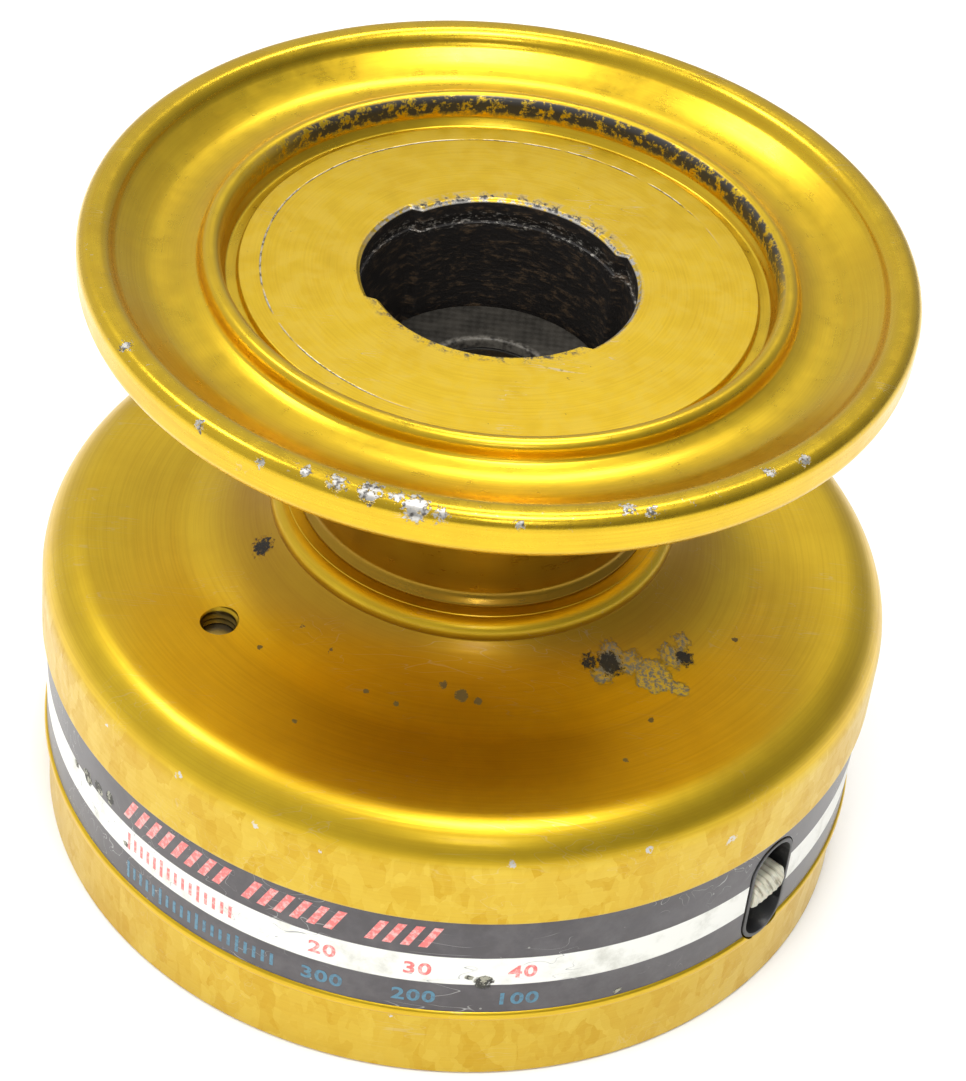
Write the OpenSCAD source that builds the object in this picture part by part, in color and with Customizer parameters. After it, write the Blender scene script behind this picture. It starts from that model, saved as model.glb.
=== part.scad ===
// Skirted line spool of a front-drag spinning reel.
// Millimetres. The origin is the centre of the skirt's rim and +Z runs up the
// spindle axis to the front flange. Turned parts are drawn as half sections,
// with the distance from the axis along X and the height along Y.

/* [Front flange and arbor] */
// Radius over the rolled lip of the front flange
flange_r = 28.5; // [28:0.1:29]
// Height of the disc inside the raised ring
disc_z = 47.4; // [46.5:0.1:48.5]
// Radius of that disc
disc_r = 17.7; // [17.2:0.1:18.2]
// Inner radius of the raised ring, where the drag knob seats
seat_r = 18.9; // [18.6:0.1:19.4]
// Radius of the arbor that the line is wound on
arbor_r = 12.2; // [12:0.1:14.5]
// Thickness of the web between the line and the disc
web_t = 2.4; // [1.8:0.1:3]

/* [Drag cavity] */
// Radius of the cavity
cavity_r = 8.8; // [8.6:0.1:9.2]
// Radius of the two slots that take the washer's ears
ear_slot_r = 9.45; // [9.3:0.05:9.8]
// Half width of those slots
ear_slot_half_w = 5.5; // [4.5:0.1:6]
// Direction of the ear slots around the axis, in degrees
ear_slot_angle = -10.5; // [-90:0.5:90]
// Depth from the disc to the top washer
open_depth = 9; // [7:0.1:10]
// Radius of the hole through the washers and the hub
through_r = 4.6; // [4.5:0.1:5]

/* [Drag washers] */
// Thickness of a fibre washer
fibre_t = 0.8; // [0.6:0.05:1]
// Thickness of a metal washer
metal_t = 1.0; // [0.8:0.05:1.2]
// Free height between two washers
washer_gap = 0.05; // [0.05:0.01:0.1]
// Outer radius of the washers
washer_r = 8.55; // [8.4:0.05:8.6]
// Distance from the axis to the two flats of a keyed washer
key_flat = 3.5; // [3.3:0.1:3.8]

/* [Skirt] */
// Outer radius of the skirt above the label
skirt_r = 30.6; // [30.4:0.1:31]
// Outer radius of the rim below the label
rim_r = 30; // [29.8:0.1:30.1]
// Inner radius of the skirt
skirt_in_r = 28.3; // [28.2:0.1:28.5]
// Height of the flat top of the rear flange
rear_z = 24; // [23.5:0.1:24.5]
// Radius of the shoulder between the rear flange and the skirt
shoulder_r = 2.4; // [1.5:0.1:3]
// Thickness of the rear flange at the shoulder
rear_t = 2.4; // [2:0.1:2.6]
// Radius of the spigot that joins the hub to the skirt
spigot_r = 11.5; // [10.5:0.1:12]
// Height of the seam between hub and skirt
seam_z = 28.5; // [28:0.1:29.5]

/* [Label] */
// Lower edge of the label
label_z0 = 6.84; // [6.5:0.02:7.2]
// Upper edge of the label
label_z1 = 16.1; // [15.5:0.1:16.5]
// Outer radius of the label
label_r = 30.22; // [30.15:0.01:30.3]
// Thickness of the label
label_t = 0.17; // [0.1:0.01:0.2]

/* [Line clip] */
// Direction of the clip around the axis, in degrees
clip_angle = -38; // [-45:0.5:-30]
// Height of the clip's centre
clip_z = 10.6; // [10.4:0.1:10.8]
// Half width of the slot in the skirt
clip_half_w = 2.35; // [2.2:0.05:2.6]
// Half height of the slot in the skirt
clip_half_h = 4.7; // [4.5:0.05:4.8]

/* [Click] */
// Distance of the click screw from the spool's axis
click_r = 20.6; // [20:0.1:21]
// Direction of the click screw around the axis, in degrees
click_angle = -143.7; // [-150:0.1:-140]
// Length of the tongue from its pivot to its tip
tongue_len = 10.6; // [9:0.1:10.6]
// Radius of the journal that the tongue turns on
journal_r = 2.3; // [2.1:0.1:2.4]
// Running clearance of journals and guides
run_gap = 0.05; // [0.03:0.01:0.08]

/* [Spindle bush] */
// Bore radius of the spindle bush
bush_bore_r = 4.2; // [4:0.1:4.3]
// Outer radius of the spindle bush
bush_r = 6.2; // [5.5:0.1:6.5]
// Length of the spindle bush
bush_len = 7.5; // [6:0.1:8]

/* [Hidden] */
$fn = 128;
eps = 0.5;

// Front flange
lip_r = 0.95;
lip_crest_z = disc_z + 2.55;
lip_mid_z = lip_crest_z - lip_r;
LIP_CENTRES = [
    [flange_r - 1.5, lip_mid_z - 0.05],
    [flange_r - lip_r, lip_mid_z],
    [flange_r - 1.05, lip_mid_z - 1.25]
];
channel_z = disc_z + 0.6;
channel_in_r = seat_r + 1.4;
channel_out_r = flange_r - 4.1;
channel_curve_r = 5;
channel_sag = 0.4;
channel_mid_r = (channel_in_r + channel_out_r) / 2;
ring_r = (channel_in_r - seat_r) / 2;
ring_crest_z = disc_z + 1.8;
recess_z = disc_z - 0.5;
recess_out_r = seat_r - 0.4;
seat_wall_z = disc_z + 0.1;
web_z = disc_z - web_t;
web_fillet_r = 1.5;

// Arbor foot and the seam with the skirt
foot_r = arbor_r + 0.5;
foot_h = 0.2;
foot_rise = 0.7;
bead_r = 0.95;
bead_mid_r = 13.6;
bead_mid_z = seam_z - bead_r - 0.05;
cove_in_r = bead_mid_r + 0.8;
cove_out_r = 21.5;
cove_top_z = bead_mid_z - 0.4;
cove_run = cove_out_r - cove_in_r;
cove_rise = cove_top_z - rear_z;
cove_r = (cove_run * cove_run + cove_rise * cove_rise) / (2 * cove_rise);

// Drag stack, numbered 0 to 6 from the bottom: fibre and metal take turns
STACK_N = 7;
function washer_t(i) = i % 2 == 0 ? fibre_t : metal_t;
function stack_h(n) = n == 0 ? 0 : stack_h(n - 1) + washer_t(n - 1) + (n > 1 ? washer_gap : 0);
cavity_top_z = disc_z - open_depth;
cavity_floor_z = cavity_top_z - stack_h(STACK_N);
function washer_z(i) = cavity_floor_z + stack_h(i) + (i > 0 ? washer_gap : 0);
ear_floor_z = washer_z(3) - 0.15;
rim_chamfer = 0.25;

// Underside of the rear flange and what hangs from it
under_z = rear_z - rear_t;
spigot_z = under_z - 1.2;
clamp_r = 14;
tongue_t = 2;
collar_flange_z = under_z - 1.45;
tongue_z = collar_flange_z - 0.1 - tongue_t;
journal_z = tongue_z - 0.1;
collar_flange_r = 3.3;
boss_r = 3.6;
screw_head_r = 2.9;
screw_head_h = 1.7;
screw_r = 1.2;
screw_tip_z = rear_z - 1.1;
thread_minor_r = 1.25;
thread_major_r = 1.5;
thread_pitch = 0.5;
tail_x = 4.4;
tail_r = 1.2;
tail_hole_r = 0.45;

// Spring of the tongue: a coil on its post and a leg that drops into the tail
wire_r = 0.22;
coil_r = 1.35;
post_x = 1.5;
post_y = 9.5;
post_r = 1.0;
spring_z = collar_flange_z + 0.3;
coil_z = spring_z - 1.5;
COIL_STEPS = 40;
COIL_TURNS = 2.5;
function coil_point(i) =
    let (a = i * 360 * COIL_TURNS / COIL_STEPS - 180)
    [post_x + coil_r * cos(a), post_y + coil_r * sin(a), coil_z + 1.5 * i / COIL_STEPS];
anchor_y = post_y + 4.4;
SPRING_PATH = concat(
    [
        [post_x - coil_r, anchor_y, under_z + 0.8],
        [post_x - coil_r, anchor_y, coil_z + 0.7],
        [post_x - coil_r, anchor_y - 0.2, coil_z + 0.2],
        [post_x - coil_r, anchor_y - 0.8, coil_z],
        [post_x - coil_r, post_y + 1, coil_z]
    ],
    [for (i = [0 : COIL_STEPS]) coil_point(i)],
    [
        [post_x + coil_r + 0.1, post_y - 1.5, spring_z],
        [tail_x - 0.5, 2.4, spring_z],
        [tail_x, 0.9, spring_z],
        [tail_x, 0.2, spring_z - 0.25],
        [tail_x, 0, spring_z - 0.8],
        [tail_x, 0, tongue_z - 0.3]
    ]
);

// Line clip, drawn along +X with its outer face at the skirt
clip_skirt_gap = 0.1;
clip_wall = 0.4;
clip_back_x = 27;
clip_floor_x = 28;
clip_flange_over = 0.85;
button_half_w = 1.7;
button_half_h = 1.3;
button_back_x = 28.9;
button_crest_x = 30.5;
button_dome_r = 3;
stem_r = 0.7;
stem_head_x = 25.6;
stem_head_r = 1.15;
clip_spring_t = 0.2;
clip_spring_half_h = 3.6;
clip_spring_half_w = 1;
clip_spring_sag = 0.55;
clip_spring_r = (clip_spring_half_h * clip_spring_half_h + clip_spring_sag * clip_spring_sag)
    / (2 * clip_spring_sag);

module annulus(outer, inner) {
    difference() {
        circle(r = outer);
        circle(r = inner);
    }
}

module tube(outer, inner, z, h) {
    translate([0, 0, z]) linear_extrude(h) annulus(outer, inner);
}

module turned() {
    rotate_extrude() children();
}

module ear_shape(r, half_w) {
    rotate(ear_slot_angle) intersection() {
        circle(r = r);
        square([4 * r, 2 * half_w], center = true);
    }
}

// Upright slot shape, as tall as 2 * half_h and as wide as 2 * half_w
module upright_slot(half_w, half_h) {
    for (side = [-1, 1])
        translate([0, side * (half_h - half_w)]) circle(r = half_w);
    square([2 * half_w, 2 * (half_h - half_w)], center = true);
}

// Stands a flat outline up at the clip, from x0 to x1 away from the axis
module at_clip(x0, x1) {
    rotate([0, 0, clip_angle]) translate([x0, 0, clip_z])
        rotate([90, 0, 90]) linear_extrude(x1 - x0) children();
}

module at_click() {
    rotate([0, 0, click_angle]) translate([click_r, 0, 0]) children();
}

module lip_circles() {
    for (c = LIP_CENTRES) translate(c) circle(r = lip_r);
}

// Web and lip in one outline. Its corners stop just inside the lip's circles.
module web_section() {
    r = lip_r - 0.02;
    inner = LIP_CENTRES[0];
    outer = LIP_CENTRES[1];
    lower = LIP_CENTRES[2];
    difference() {
        polygon([
            [0, web_z - web_fillet_r],
            [arbor_r + web_fillet_r, web_z - web_fillet_r],
            [arbor_r + web_fillet_r, web_z],
            [flange_r - 3, web_z + 1.3],
            [lower[0], lower[1] - r],
            [lower[0] + r, lower[1]],
            [outer[0] + r, outer[1]],
            [outer[0], outer[1] + r],
            [inner[0], inner[1] + r],
            [inner[0] - 0.8, inner[1] + 0.2],
            [channel_out_r, channel_z],
            [seat_r + ring_r, channel_z],
            [seat_r + ring_r, seat_wall_z],
            [seat_r, seat_wall_z],
            [recess_out_r, recess_z],
            [disc_r, recess_z],
            [disc_r, disc_z],
            [0, disc_z]
        ]);
        translate([arbor_r + web_fillet_r, web_z - web_fillet_r]) circle(r = web_fillet_r);
        translate([channel_mid_r, channel_z + channel_curve_r - channel_sag])
            circle(r = channel_curve_r);
    }
    translate([seat_r + ring_r, ring_crest_z - ring_r]) circle(r = ring_r);
    translate([seat_r, seat_wall_z]) square([2 * ring_r, ring_crest_z - ring_r - seat_wall_z]);
    lip_circles();
}

module hub_section() {
    polygon([
        [0, spigot_z],
        [spigot_r, spigot_z],
        [spigot_r, seam_z],
        [foot_r, seam_z],
        [foot_r, seam_z + foot_h],
        [arbor_r, seam_z + foot_rise],
        [arbor_r, web_z],
        [0, web_z]
    ]);
    web_section();
}

module hub_arbor() {
    color("goldenrod") difference() {
        turned() hub_section();
        translate([0, 0, cavity_floor_z]) cylinder(h = 30, r = cavity_r);
        translate([0, 0, ear_floor_z]) linear_extrude(30) ear_shape(ear_slot_r, ear_slot_half_w);
        translate([0, 0, disc_z - rim_chamfer])
            cylinder(h = rim_chamfer * 2, r1 = cavity_r, r2 = cavity_r + rim_chamfer * 2);
        cylinder(h = 60, r = through_r);
        translate([0, 0, spigot_z - eps]) cylinder(h = bush_len + eps, r = bush_r);
    }
}

module skirt_section() {
    difference() {
        union() {
            polygon([
                [skirt_in_r, 0],
                [rim_r - 0.3, 0],
                [rim_r, 0.3],
                [rim_r, label_z0 - 0.95],
                [rim_r + 0.25, label_z0 - 0.7],
                [rim_r + 0.4, label_z0 - 0.35],
                [rim_r + 0.25, label_z0],
                [label_r - label_t, label_z0],
                [label_r - label_t, label_z1],
                [skirt_r - 0.1, label_z1],
                [skirt_r, label_z1 + 0.15],
                [skirt_r, rear_z - shoulder_r],
                [skirt_r - shoulder_r, rear_z],
                [spigot_r, rear_z],
                [spigot_r, under_z],
                [skirt_in_r - 1.2, under_z],
                [skirt_in_r, under_z - 1.2]
            ]);
            translate([skirt_r - shoulder_r, rear_z - shoulder_r]) circle(r = shoulder_r);
            translate([spigot_r, under_z]) square([bead_mid_r - spigot_r, seam_z - under_z]);
            translate([bead_mid_r - eps, under_z])
                square([cove_out_r - bead_mid_r + eps, cove_top_z - under_z]);
        }
        translate([cove_out_r, rear_z + cove_r]) circle(r = cove_r);
    }
    translate([bead_mid_r, bead_mid_z]) circle(r = bead_r);
}

// Tapped hole, with the thread drawn as rings
module tapped_hole() {
    translate([0, 0, under_z - eps]) cylinder(h = rear_t + 2, r = thread_minor_r);
    for (i = [0 : 4])
        translate([0, 0, under_z + 0.3 + i * thread_pitch]) rotate_extrude() polygon([
            [0, -thread_pitch / 2],
            [thread_minor_r, -thread_pitch / 2 + 0.05],
            [thread_major_r, 0],
            [thread_minor_r, thread_pitch / 2 - 0.05],
            [0, thread_pitch / 2]
        ]);
}

module skirt() {
    color("goldenrod") difference() {
        turned() skirt_section();
        at_click() tapped_hole();
        at_clip(skirt_in_r - 2, skirt_r + 2) upright_slot(clip_half_w, clip_half_h);
        at_click() translate([post_x, post_y, under_z - eps]) cylinder(h = 1.5 + eps, r = post_r);
        at_click() translate([post_x - coil_r, anchor_y, under_z - eps])
            cylinder(h = 1 + eps, r = wire_r + 0.1);
    }
}

module hub_clamp_ring() {
    color("silver") tube(clamp_r, spigot_r, spigot_z, under_z - spigot_z);
}

module spindle_bush() {
    color("darkkhaki") tube(bush_r, bush_bore_r, spigot_z, bush_len);
}

module label_band() {
    color("dimgray") difference() {
        tube(label_r, label_r - label_t, label_z0, label_z1 - label_z0);
        at_clip(skirt_in_r - 2, skirt_r + 2) upright_slot(clip_half_w, clip_half_h);
    }
}

module line_clip_housing() {
    color("#202020") difference() {
        intersection() {
            union() {
                at_clip(clip_back_x, skirt_r + 1)
                    upright_slot(clip_half_w - clip_skirt_gap, clip_half_h - clip_skirt_gap);
                at_clip(clip_back_x, clip_floor_x + 0.05)
                    upright_slot(clip_half_w + clip_flange_over, clip_half_h + clip_flange_over);
            }
            cylinder(h = rear_z, r = label_r + 0.1);
        }
        at_clip(clip_floor_x, skirt_r + 2)
            upright_slot(clip_half_w - clip_skirt_gap - clip_wall, clip_half_h - clip_skirt_gap - clip_wall);
        at_clip(clip_back_x - 1, clip_floor_x + 1) circle(r = stem_r + run_gap);
    }
}

module line_clip_button() {
    color("ivory") {
        intersection() {
            at_clip(button_back_x, skirt_r + 1)
                square([2 * button_half_w, 2 * button_half_h], center = true);
            rotate([0, 0, clip_angle]) translate([button_crest_x - button_dome_r, 0, clip_z])
                rotate([90, 0, 0]) cylinder(h = 10, r = button_dome_r, center = true);
        }
        at_clip(stem_head_x, button_back_x + 0.2) circle(r = stem_r);
        at_clip(stem_head_x, stem_head_x + 0.5) circle(r = stem_head_r);
    }
}

// Bowed leaf between the back of the housing and the head of the button's stem
module line_clip_spring() {
    mid_x = clip_back_x - clip_spring_sag + clip_spring_r - clip_spring_t - 0.02;
    color("silver") rotate([0, 0, clip_angle]) translate([0, 0, clip_z]) difference() {
        intersection() {
            translate([mid_x, 0, 0]) rotate([90, 0, 0]) difference() {
                cylinder(h = 2 * clip_spring_half_w, r = clip_spring_r, center = true);
                cylinder(h = 3 * clip_spring_half_w, r = clip_spring_r - clip_spring_t, center = true);
            }
            translate([clip_back_x - 1.5, -2, -clip_spring_half_h]) cube([1.5, 4, 2 * clip_spring_half_h]);
        }
        translate([clip_back_x - 3, 0, 0]) rotate([0, 90, 0]) cylinder(h = 6, r = stem_r + 0.1);
    }
}

module fibre_washer(i) {
    color("#3a3a3a") tube(washer_r, through_r, washer_z(i), fibre_t);
}

module keyed_washer(i) {
    color("silver") translate([0, 0, washer_z(i)]) linear_extrude(metal_t) difference() {
        circle(r = washer_r - 0.05);
        intersection() {
            circle(r = through_r - 0.1);
            square([2 * key_flat, 20], center = true);
        }
    }
}

module fibre_washer_bottom() { fibre_washer(0); }
module keyed_washer_lower() { keyed_washer(1); }
module fibre_washer_lower() { fibre_washer(2); }
module fibre_washer_upper() { fibre_washer(4); }
module keyed_washer_upper() { keyed_washer(5); }
module fibre_washer_top() { fibre_washer(6); }

module eared_washer() {
    color("silver") translate([0, 0, washer_z(3)]) linear_extrude(metal_t) difference() {
        union() {
            circle(r = washer_r);
            ear_shape(ear_slot_r - 0.15, ear_slot_half_w - 0.15);
        }
        circle(r = through_r);
    }
}

module click_collar() {
    color("silver") at_click() {
        tube(collar_flange_r, thread_major_r + 0.05, collar_flange_z, under_z - collar_flange_z);
        tube(journal_r, thread_major_r + 0.05, journal_z, collar_flange_z - journal_z);
    }
}

module click_tongue() {
    color("ivory") at_click() translate([0, 0, tongue_z]) difference() {
        union() {
            cylinder(h = tongue_t, r = boss_r);
            translate([tail_x, 0, 0]) cylinder(h = tongue_t, r = tail_r);
            linear_extrude(tongue_t) polygon([
                [-tongue_len, 0],
                [-tongue_len + 1.6, 1.2],
                [-2, 2.9],
                [2, 2.6],
                [tail_x, tail_r - 0.1],
                [tail_x, 0.1 - tail_r],
                [2, -2.6],
                [-2, -2.9],
                [-tongue_len + 1.6, -1.2]
            ]);
        }
        translate([0, 0, -eps]) cylinder(h = tongue_t + 2 * eps, r = journal_r + run_gap);
        translate([tail_x, 0, -eps]) cylinder(h = tongue_t + 2 * eps, r = tail_hole_r);
    }
}

module click_screw() {
    color("silver") at_click() difference() {
        union() {
            translate([0, 0, journal_z - screw_head_h]) cylinder(h = screw_head_h, r = screw_head_r);
            translate([0, 0, journal_z - eps]) cylinder(h = screw_tip_z - journal_z + eps, r = screw_r);
        }
        translate([-4, -0.4, journal_z - screw_head_h - 1]) cube([8, 0.8, 1.8]);
    }
}

module spring_post() {
    color("silver") at_click() translate([post_x, post_y, 0]) {
        translate([0, 0, tongue_z - 0.4]) cylinder(h = under_z + 1.5 - tongue_z + 0.4, r = post_r);
        translate([0, 0, tongue_z - 1]) cylinder(h = 0.6, r = post_r + 0.6);
    }
}

// Round wire along a path, as one closed skin
WIRE_SIDES = 8;
function unit(v) = v / norm(v);
function path_dir(p, i) = unit(p[min(i + 1, len(p) - 1)] - p[max(i - 1, 0)]);
function side_dir(d) = unit(cross(d, abs(d[2]) > 0.9 ? [0, 1, 0] : [0, 0, 1]));
function ring_points(p, i, r) =
    let (d = path_dir(p, i), u = side_dir(d), w = cross(d, u))
    [for (k = [0 : WIRE_SIDES - 1]) let (a = 360 * k / WIRE_SIDES) p[i] + r * (cos(a) * u + sin(a) * w)];

module wire(p, r) {
    n = len(p);
    points = [for (i = [0 : n - 1]) for (q = ring_points(p, i, r)) q];
    sides = [
        for (i = [0 : n - 2]) for (k = [0 : WIRE_SIDES - 1])
            let (a = i * WIRE_SIDES + k, b = i * WIRE_SIDES + (k + 1) % WIRE_SIDES)
            [a, b, b + WIRE_SIDES, a + WIRE_SIDES]
    ];
    start = [for (k = [0 : WIRE_SIDES - 1]) WIRE_SIDES - 1 - k];
    end = [for (k = [0 : WIRE_SIDES - 1]) (n - 1) * WIRE_SIDES + k];
    polyhedron(points = points, faces = concat(sides, [start, end]), convexity = 6);
}

module click_spring() {
    color("lightsteelblue") at_click() wire(SPRING_PATH, wire_r);
}

hub_arbor();
skirt();
hub_clamp_ring();
spindle_bush();
label_band();
line_clip_housing();
line_clip_button();
line_clip_spring();
fibre_washer_bottom();
keyed_washer_lower();
fibre_washer_lower();
eared_washer();
fibre_washer_upper();
keyed_washer_upper();
fibre_washer_top();
click_collar();
click_tongue();
click_screw();
click_spring();
spring_post();
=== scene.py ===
"""Finished look of a skirted line spool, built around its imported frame.

Every piece is made in metres in the frame's own place, with +Z up the spindle
axis and the skirt's rim on the floor. Sections are given in millimetres.
"""

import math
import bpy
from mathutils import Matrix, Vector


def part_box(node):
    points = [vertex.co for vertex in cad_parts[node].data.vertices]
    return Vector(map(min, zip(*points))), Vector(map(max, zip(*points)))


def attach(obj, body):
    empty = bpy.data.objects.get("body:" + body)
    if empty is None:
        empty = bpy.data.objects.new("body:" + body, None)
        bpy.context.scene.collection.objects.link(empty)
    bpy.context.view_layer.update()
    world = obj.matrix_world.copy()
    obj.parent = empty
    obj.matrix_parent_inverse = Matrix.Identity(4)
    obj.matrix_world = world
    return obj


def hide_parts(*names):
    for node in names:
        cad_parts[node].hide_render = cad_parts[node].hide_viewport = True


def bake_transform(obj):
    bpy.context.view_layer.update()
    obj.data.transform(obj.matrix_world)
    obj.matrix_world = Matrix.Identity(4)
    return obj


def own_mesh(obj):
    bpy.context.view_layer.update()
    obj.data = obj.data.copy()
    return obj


bl_info = {
    "name": "Line Spool Maker",
    "version": (1, 0, 0),
    "blender": (4, 5, 0),
    "location": "View3D > Sidebar > Line Spool",
    "description": "Makes the turned, pressed and printed pieces of a skirted line spool",
    "category": "Object",
}

from types import SimpleNamespace

import bmesh
import bpy
from bpy.props import FloatProperty, FloatVectorProperty, IntProperty, PointerProperty
from mathutils import Matrix, Vector

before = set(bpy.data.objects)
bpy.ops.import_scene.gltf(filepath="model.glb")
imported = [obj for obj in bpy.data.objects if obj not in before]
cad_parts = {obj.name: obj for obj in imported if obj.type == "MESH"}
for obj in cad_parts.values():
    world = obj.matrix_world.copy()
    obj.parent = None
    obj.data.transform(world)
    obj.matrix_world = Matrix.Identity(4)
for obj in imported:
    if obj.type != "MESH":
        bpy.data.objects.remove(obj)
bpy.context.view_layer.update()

MM = 0.001

HUB_LOW, HUB_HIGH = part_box("hub_arbor")
_, SKIRT_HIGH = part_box("skirt")
LABEL_LOW, LABEL_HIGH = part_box("label_band")
TOP_WASHER_LOW, TOP_WASHER_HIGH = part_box("fibre_washer_top")
BUSH_LOW, BUSH_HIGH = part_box("spindle_bush")
CLAMP_LOW, CLAMP_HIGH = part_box("hub_clamp_ring")
COLLAR_LOW, COLLAR_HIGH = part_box("click_collar")
TONGUE_LOW, TONGUE_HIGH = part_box("click_tongue")
SCREW_LOW, SCREW_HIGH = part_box("click_screw")
POST_LOW, POST_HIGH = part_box("spring_post")
CLICK_CENTRE = (COLLAR_LOW + COLLAR_HIGH) / 2
CLICK_TURN = Matrix.Rotation(math.atan2(CLICK_CENTRE.y, CLICK_CENTRE.x), 4, "Z")
CLICK_PLACE = CLICK_TURN @ Matrix.Translation((math.hypot(CLICK_CENTRE.x, CLICK_CENTRE.y), 0, 0))

# Heights and places that several pieces share, in millimetres
SEAM = 28.5
EAR_FLOOR = 34.5
POST = Vector((1.5, 9.5, 0.0))
POST_PLACE = CLICK_PLACE @ Matrix.Translation(POST * MM)
SPRING_ANCHOR = 13.9
TAIL_HOLE = 4.4
CLIP_HEIGHT = 10.6
CLIP_TURN = Matrix.Rotation(math.radians(-38.0), 4, "Z")
CLIP_SEAT = 27.0


# Sizes, colours and lights that a user may change


def length(name, description, default):
    return FloatProperty(
        name=name, description=description, default=default, min=0.0, precision=5, subtype="DISTANCE", unit="LENGTH"
    )


def watts(name, description, default):
    return FloatProperty(name=name, description=description, default=default, min=0.0, unit="POWER")


def colour(name, description, default):
    return FloatVectorProperty(
        name=name, description=description, default=(*default, 1.0), size=4, min=0.0, max=1.0, subtype="COLOR"
    )


class SpoolSizes(bpy.types.PropertyGroup):
    """Sizes of the turned pieces"""

    flange_radius: length("Flange radius", "Radius over the rolled lip", HUB_HIGH.x)
    crest_height: length("Crest height", "Height of the lip's crest", HUB_HIGH.z)
    seat_radius: length("Seat radius", "Inner radius of the raised ring", 18.9 * MM)
    disc_radius: length("Disc radius", "Radius of the disc inside the ring", 17.7 * MM)
    arbor_radius: length("Arbor radius", "Radius that the line is wound on", 12.2 * MM)
    cavity_radius: length("Cavity radius", "Radius of the drag cavity", 8.8 * MM)
    ear_radius: length("Ear slot radius", "Radius of the two ear slots", 9.45 * MM)
    ear_half_width: length("Ear slot half width", "Half width of the ear slots", 5.5 * MM)
    skirt_radius: length("Skirt radius", "Radius above the label", SKIRT_HIGH.x)
    rim_radius: length("Rim radius", "Radius below the label", 30.0 * MM)
    wall_radius: length("Inner skirt radius", "Radius of the skirt's inner wall", 28.3 * MM)
    rear_height: length("Rear flange height", "Height of the rear flange", 24.0 * MM)
    label_thickness: length("Label thickness", "Thickness of the label film", 0.17 * MM)
    turn_steps: IntProperty(
        name="Steps around", description="Faces around a large turned piece", default=360, min=48, max=720
    )


class SpoolColours(bpy.types.PropertyGroup):
    """Colours of the finishes"""

    gold: colour("Gold", "Anodised metal, as it came from the bath", (0.72, 0.485, 0.022))
    deep_gold: colour("Deep gold", "Darker patches in the anodising", (0.58, 0.355, 0.013))
    pale_gold: colour("Pale gold", "Rubbed, matt anodising on the skirt", (0.66, 0.475, 0.060))
    bare_metal: colour("Bare metal", "Chips and scratches", (0.60, 0.58, 0.54))
    grime: colour("Grime", "Old grease and dirt", (0.018, 0.015, 0.012))
    corrosion: colour("Corrosion", "Pale crust of corroded metal", (0.19, 0.18, 0.14))
    label_dark: colour("Label dark", "Dark stripes of the label", (0.050, 0.043, 0.048))
    label_white: colour("Label white", "Middle stripe of the label", (0.88, 0.88, 0.82))
    print_red: colour("Red print", "Red marks on the label", (0.80, 0.16, 0.15))
    print_blue: colour("Blue print", "Blue marks on the label", (0.055, 0.20, 0.30))
    moulding: colour("Black moulding", "Housing of the line clip", (0.012, 0.012, 0.013))
    nylon: colour("Nylon", "Clip button and click tongue", (0.60, 0.58, 0.45))
    fibre: colour("Fibre", "Drag washers", (0.018, 0.016, 0.013))
    steel: colour("Steel", "Washers, screw and clamp ring", (0.56, 0.55, 0.53))
    bronze: colour("Bronze", "Bush and collar", (0.58, 0.38, 0.17))


class SpoolLights(bpy.types.PropertyGroup):
    """Brightness of the studio"""

    top: watts("Top light", "Power of the light overhead", 1.0)
    back: watts("Back light", "Power of the light behind", 0.42)
    left: watts("Left light", "Power of the light at the left", 0.45)
    front: watts("Front light", "Power of the light in front", 0.2)
    wash: watts("Floor wash", "Power of the light that whitens the floor", 6.0)
    air: FloatProperty(name="Air", description="Brightness of the surroundings", default=0.5, min=0.0, max=4.0)


# Making and placing meshes


def corner_steps(rounding):
    return int(3 + 7 * math.sqrt(rounding))


def vertices(parts):
    return {part for part in parts if isinstance(part, bmesh.types.BMVert)}


def drop_wires(bm):
    bmesh.ops.delete(bm, geom=[edge for edge in bm.edges if not edge.link_faces], context="EDGES")


def turned(corners, steps):
    """Spins a closed half section of (radius, height, rounding) corners about Z."""
    bm = bmesh.new()
    verts = [bm.verts.new((radius * MM, 0, height * MM)) for radius, height, _ in corners]
    for start, end in zip(verts, verts[1:] + verts[:1]):
        bm.edges.new((start, end))
    for rounding in sorted({corner[2] for corner in corners} - {0}):
        chosen = [vert for vert, corner in zip(verts, corners) if corner[2] == rounding]
        bmesh.ops.bevel(
            bm, geom=chosen, offset=rounding * MM, offset_type="OFFSET", segments=corner_steps(rounding),
            profile=0.5, affect="VERTICES", material=-1, clamp_overlap=False,
        )
    bmesh.ops.spin(
        bm, geom=bm.verts[:] + bm.edges[:], cent=(0, 0, 0), axis=(0, 0, 1), dvec=(0, 0, 0),
        angle=math.tau, steps=steps, use_merge=True, use_duplicate=False,
    )
    bmesh.ops.remove_doubles(bm, verts=bm.verts[:], dist=1e-8)
    drop_wires(bm)
    bmesh.ops.recalc_face_normals(bm, faces=bm.faces[:])
    return bm


def lofted(rings, count, closed):
    """Carries one loop of count vertices through the rings, each a function from step to place."""
    bm = bmesh.new()
    step = bm.verts.layers.int.new("step")
    first = bmesh.ops.create_circle(bm, segments=count, radius=1.0, cap_ends=not closed)["verts"]
    for index, vert in enumerate(first):
        vert[step] = index
        vert.co = rings[0](index)
    edges = bm.edges[:]
    start_edges = edges
    for ring in rings[1:]:
        made = bmesh.ops.extrude_edge_only(bm, edges=edges)["geom"]
        verts = vertices(made)
        for vert in verts:
            vert.co = ring(vert[step])
        edges = [edge for edge in {e for v in verts for e in v.link_edges} if set(edge.verts) <= verts]
    if closed:
        bmesh.ops.bridge_loops(bm, edges=start_edges + edges)
    else:
        bmesh.ops.holes_fill(bm, edges=edges, sides=count)
    bmesh.ops.recalc_face_normals(bm, faces=bm.faces[:])
    return bm


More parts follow.
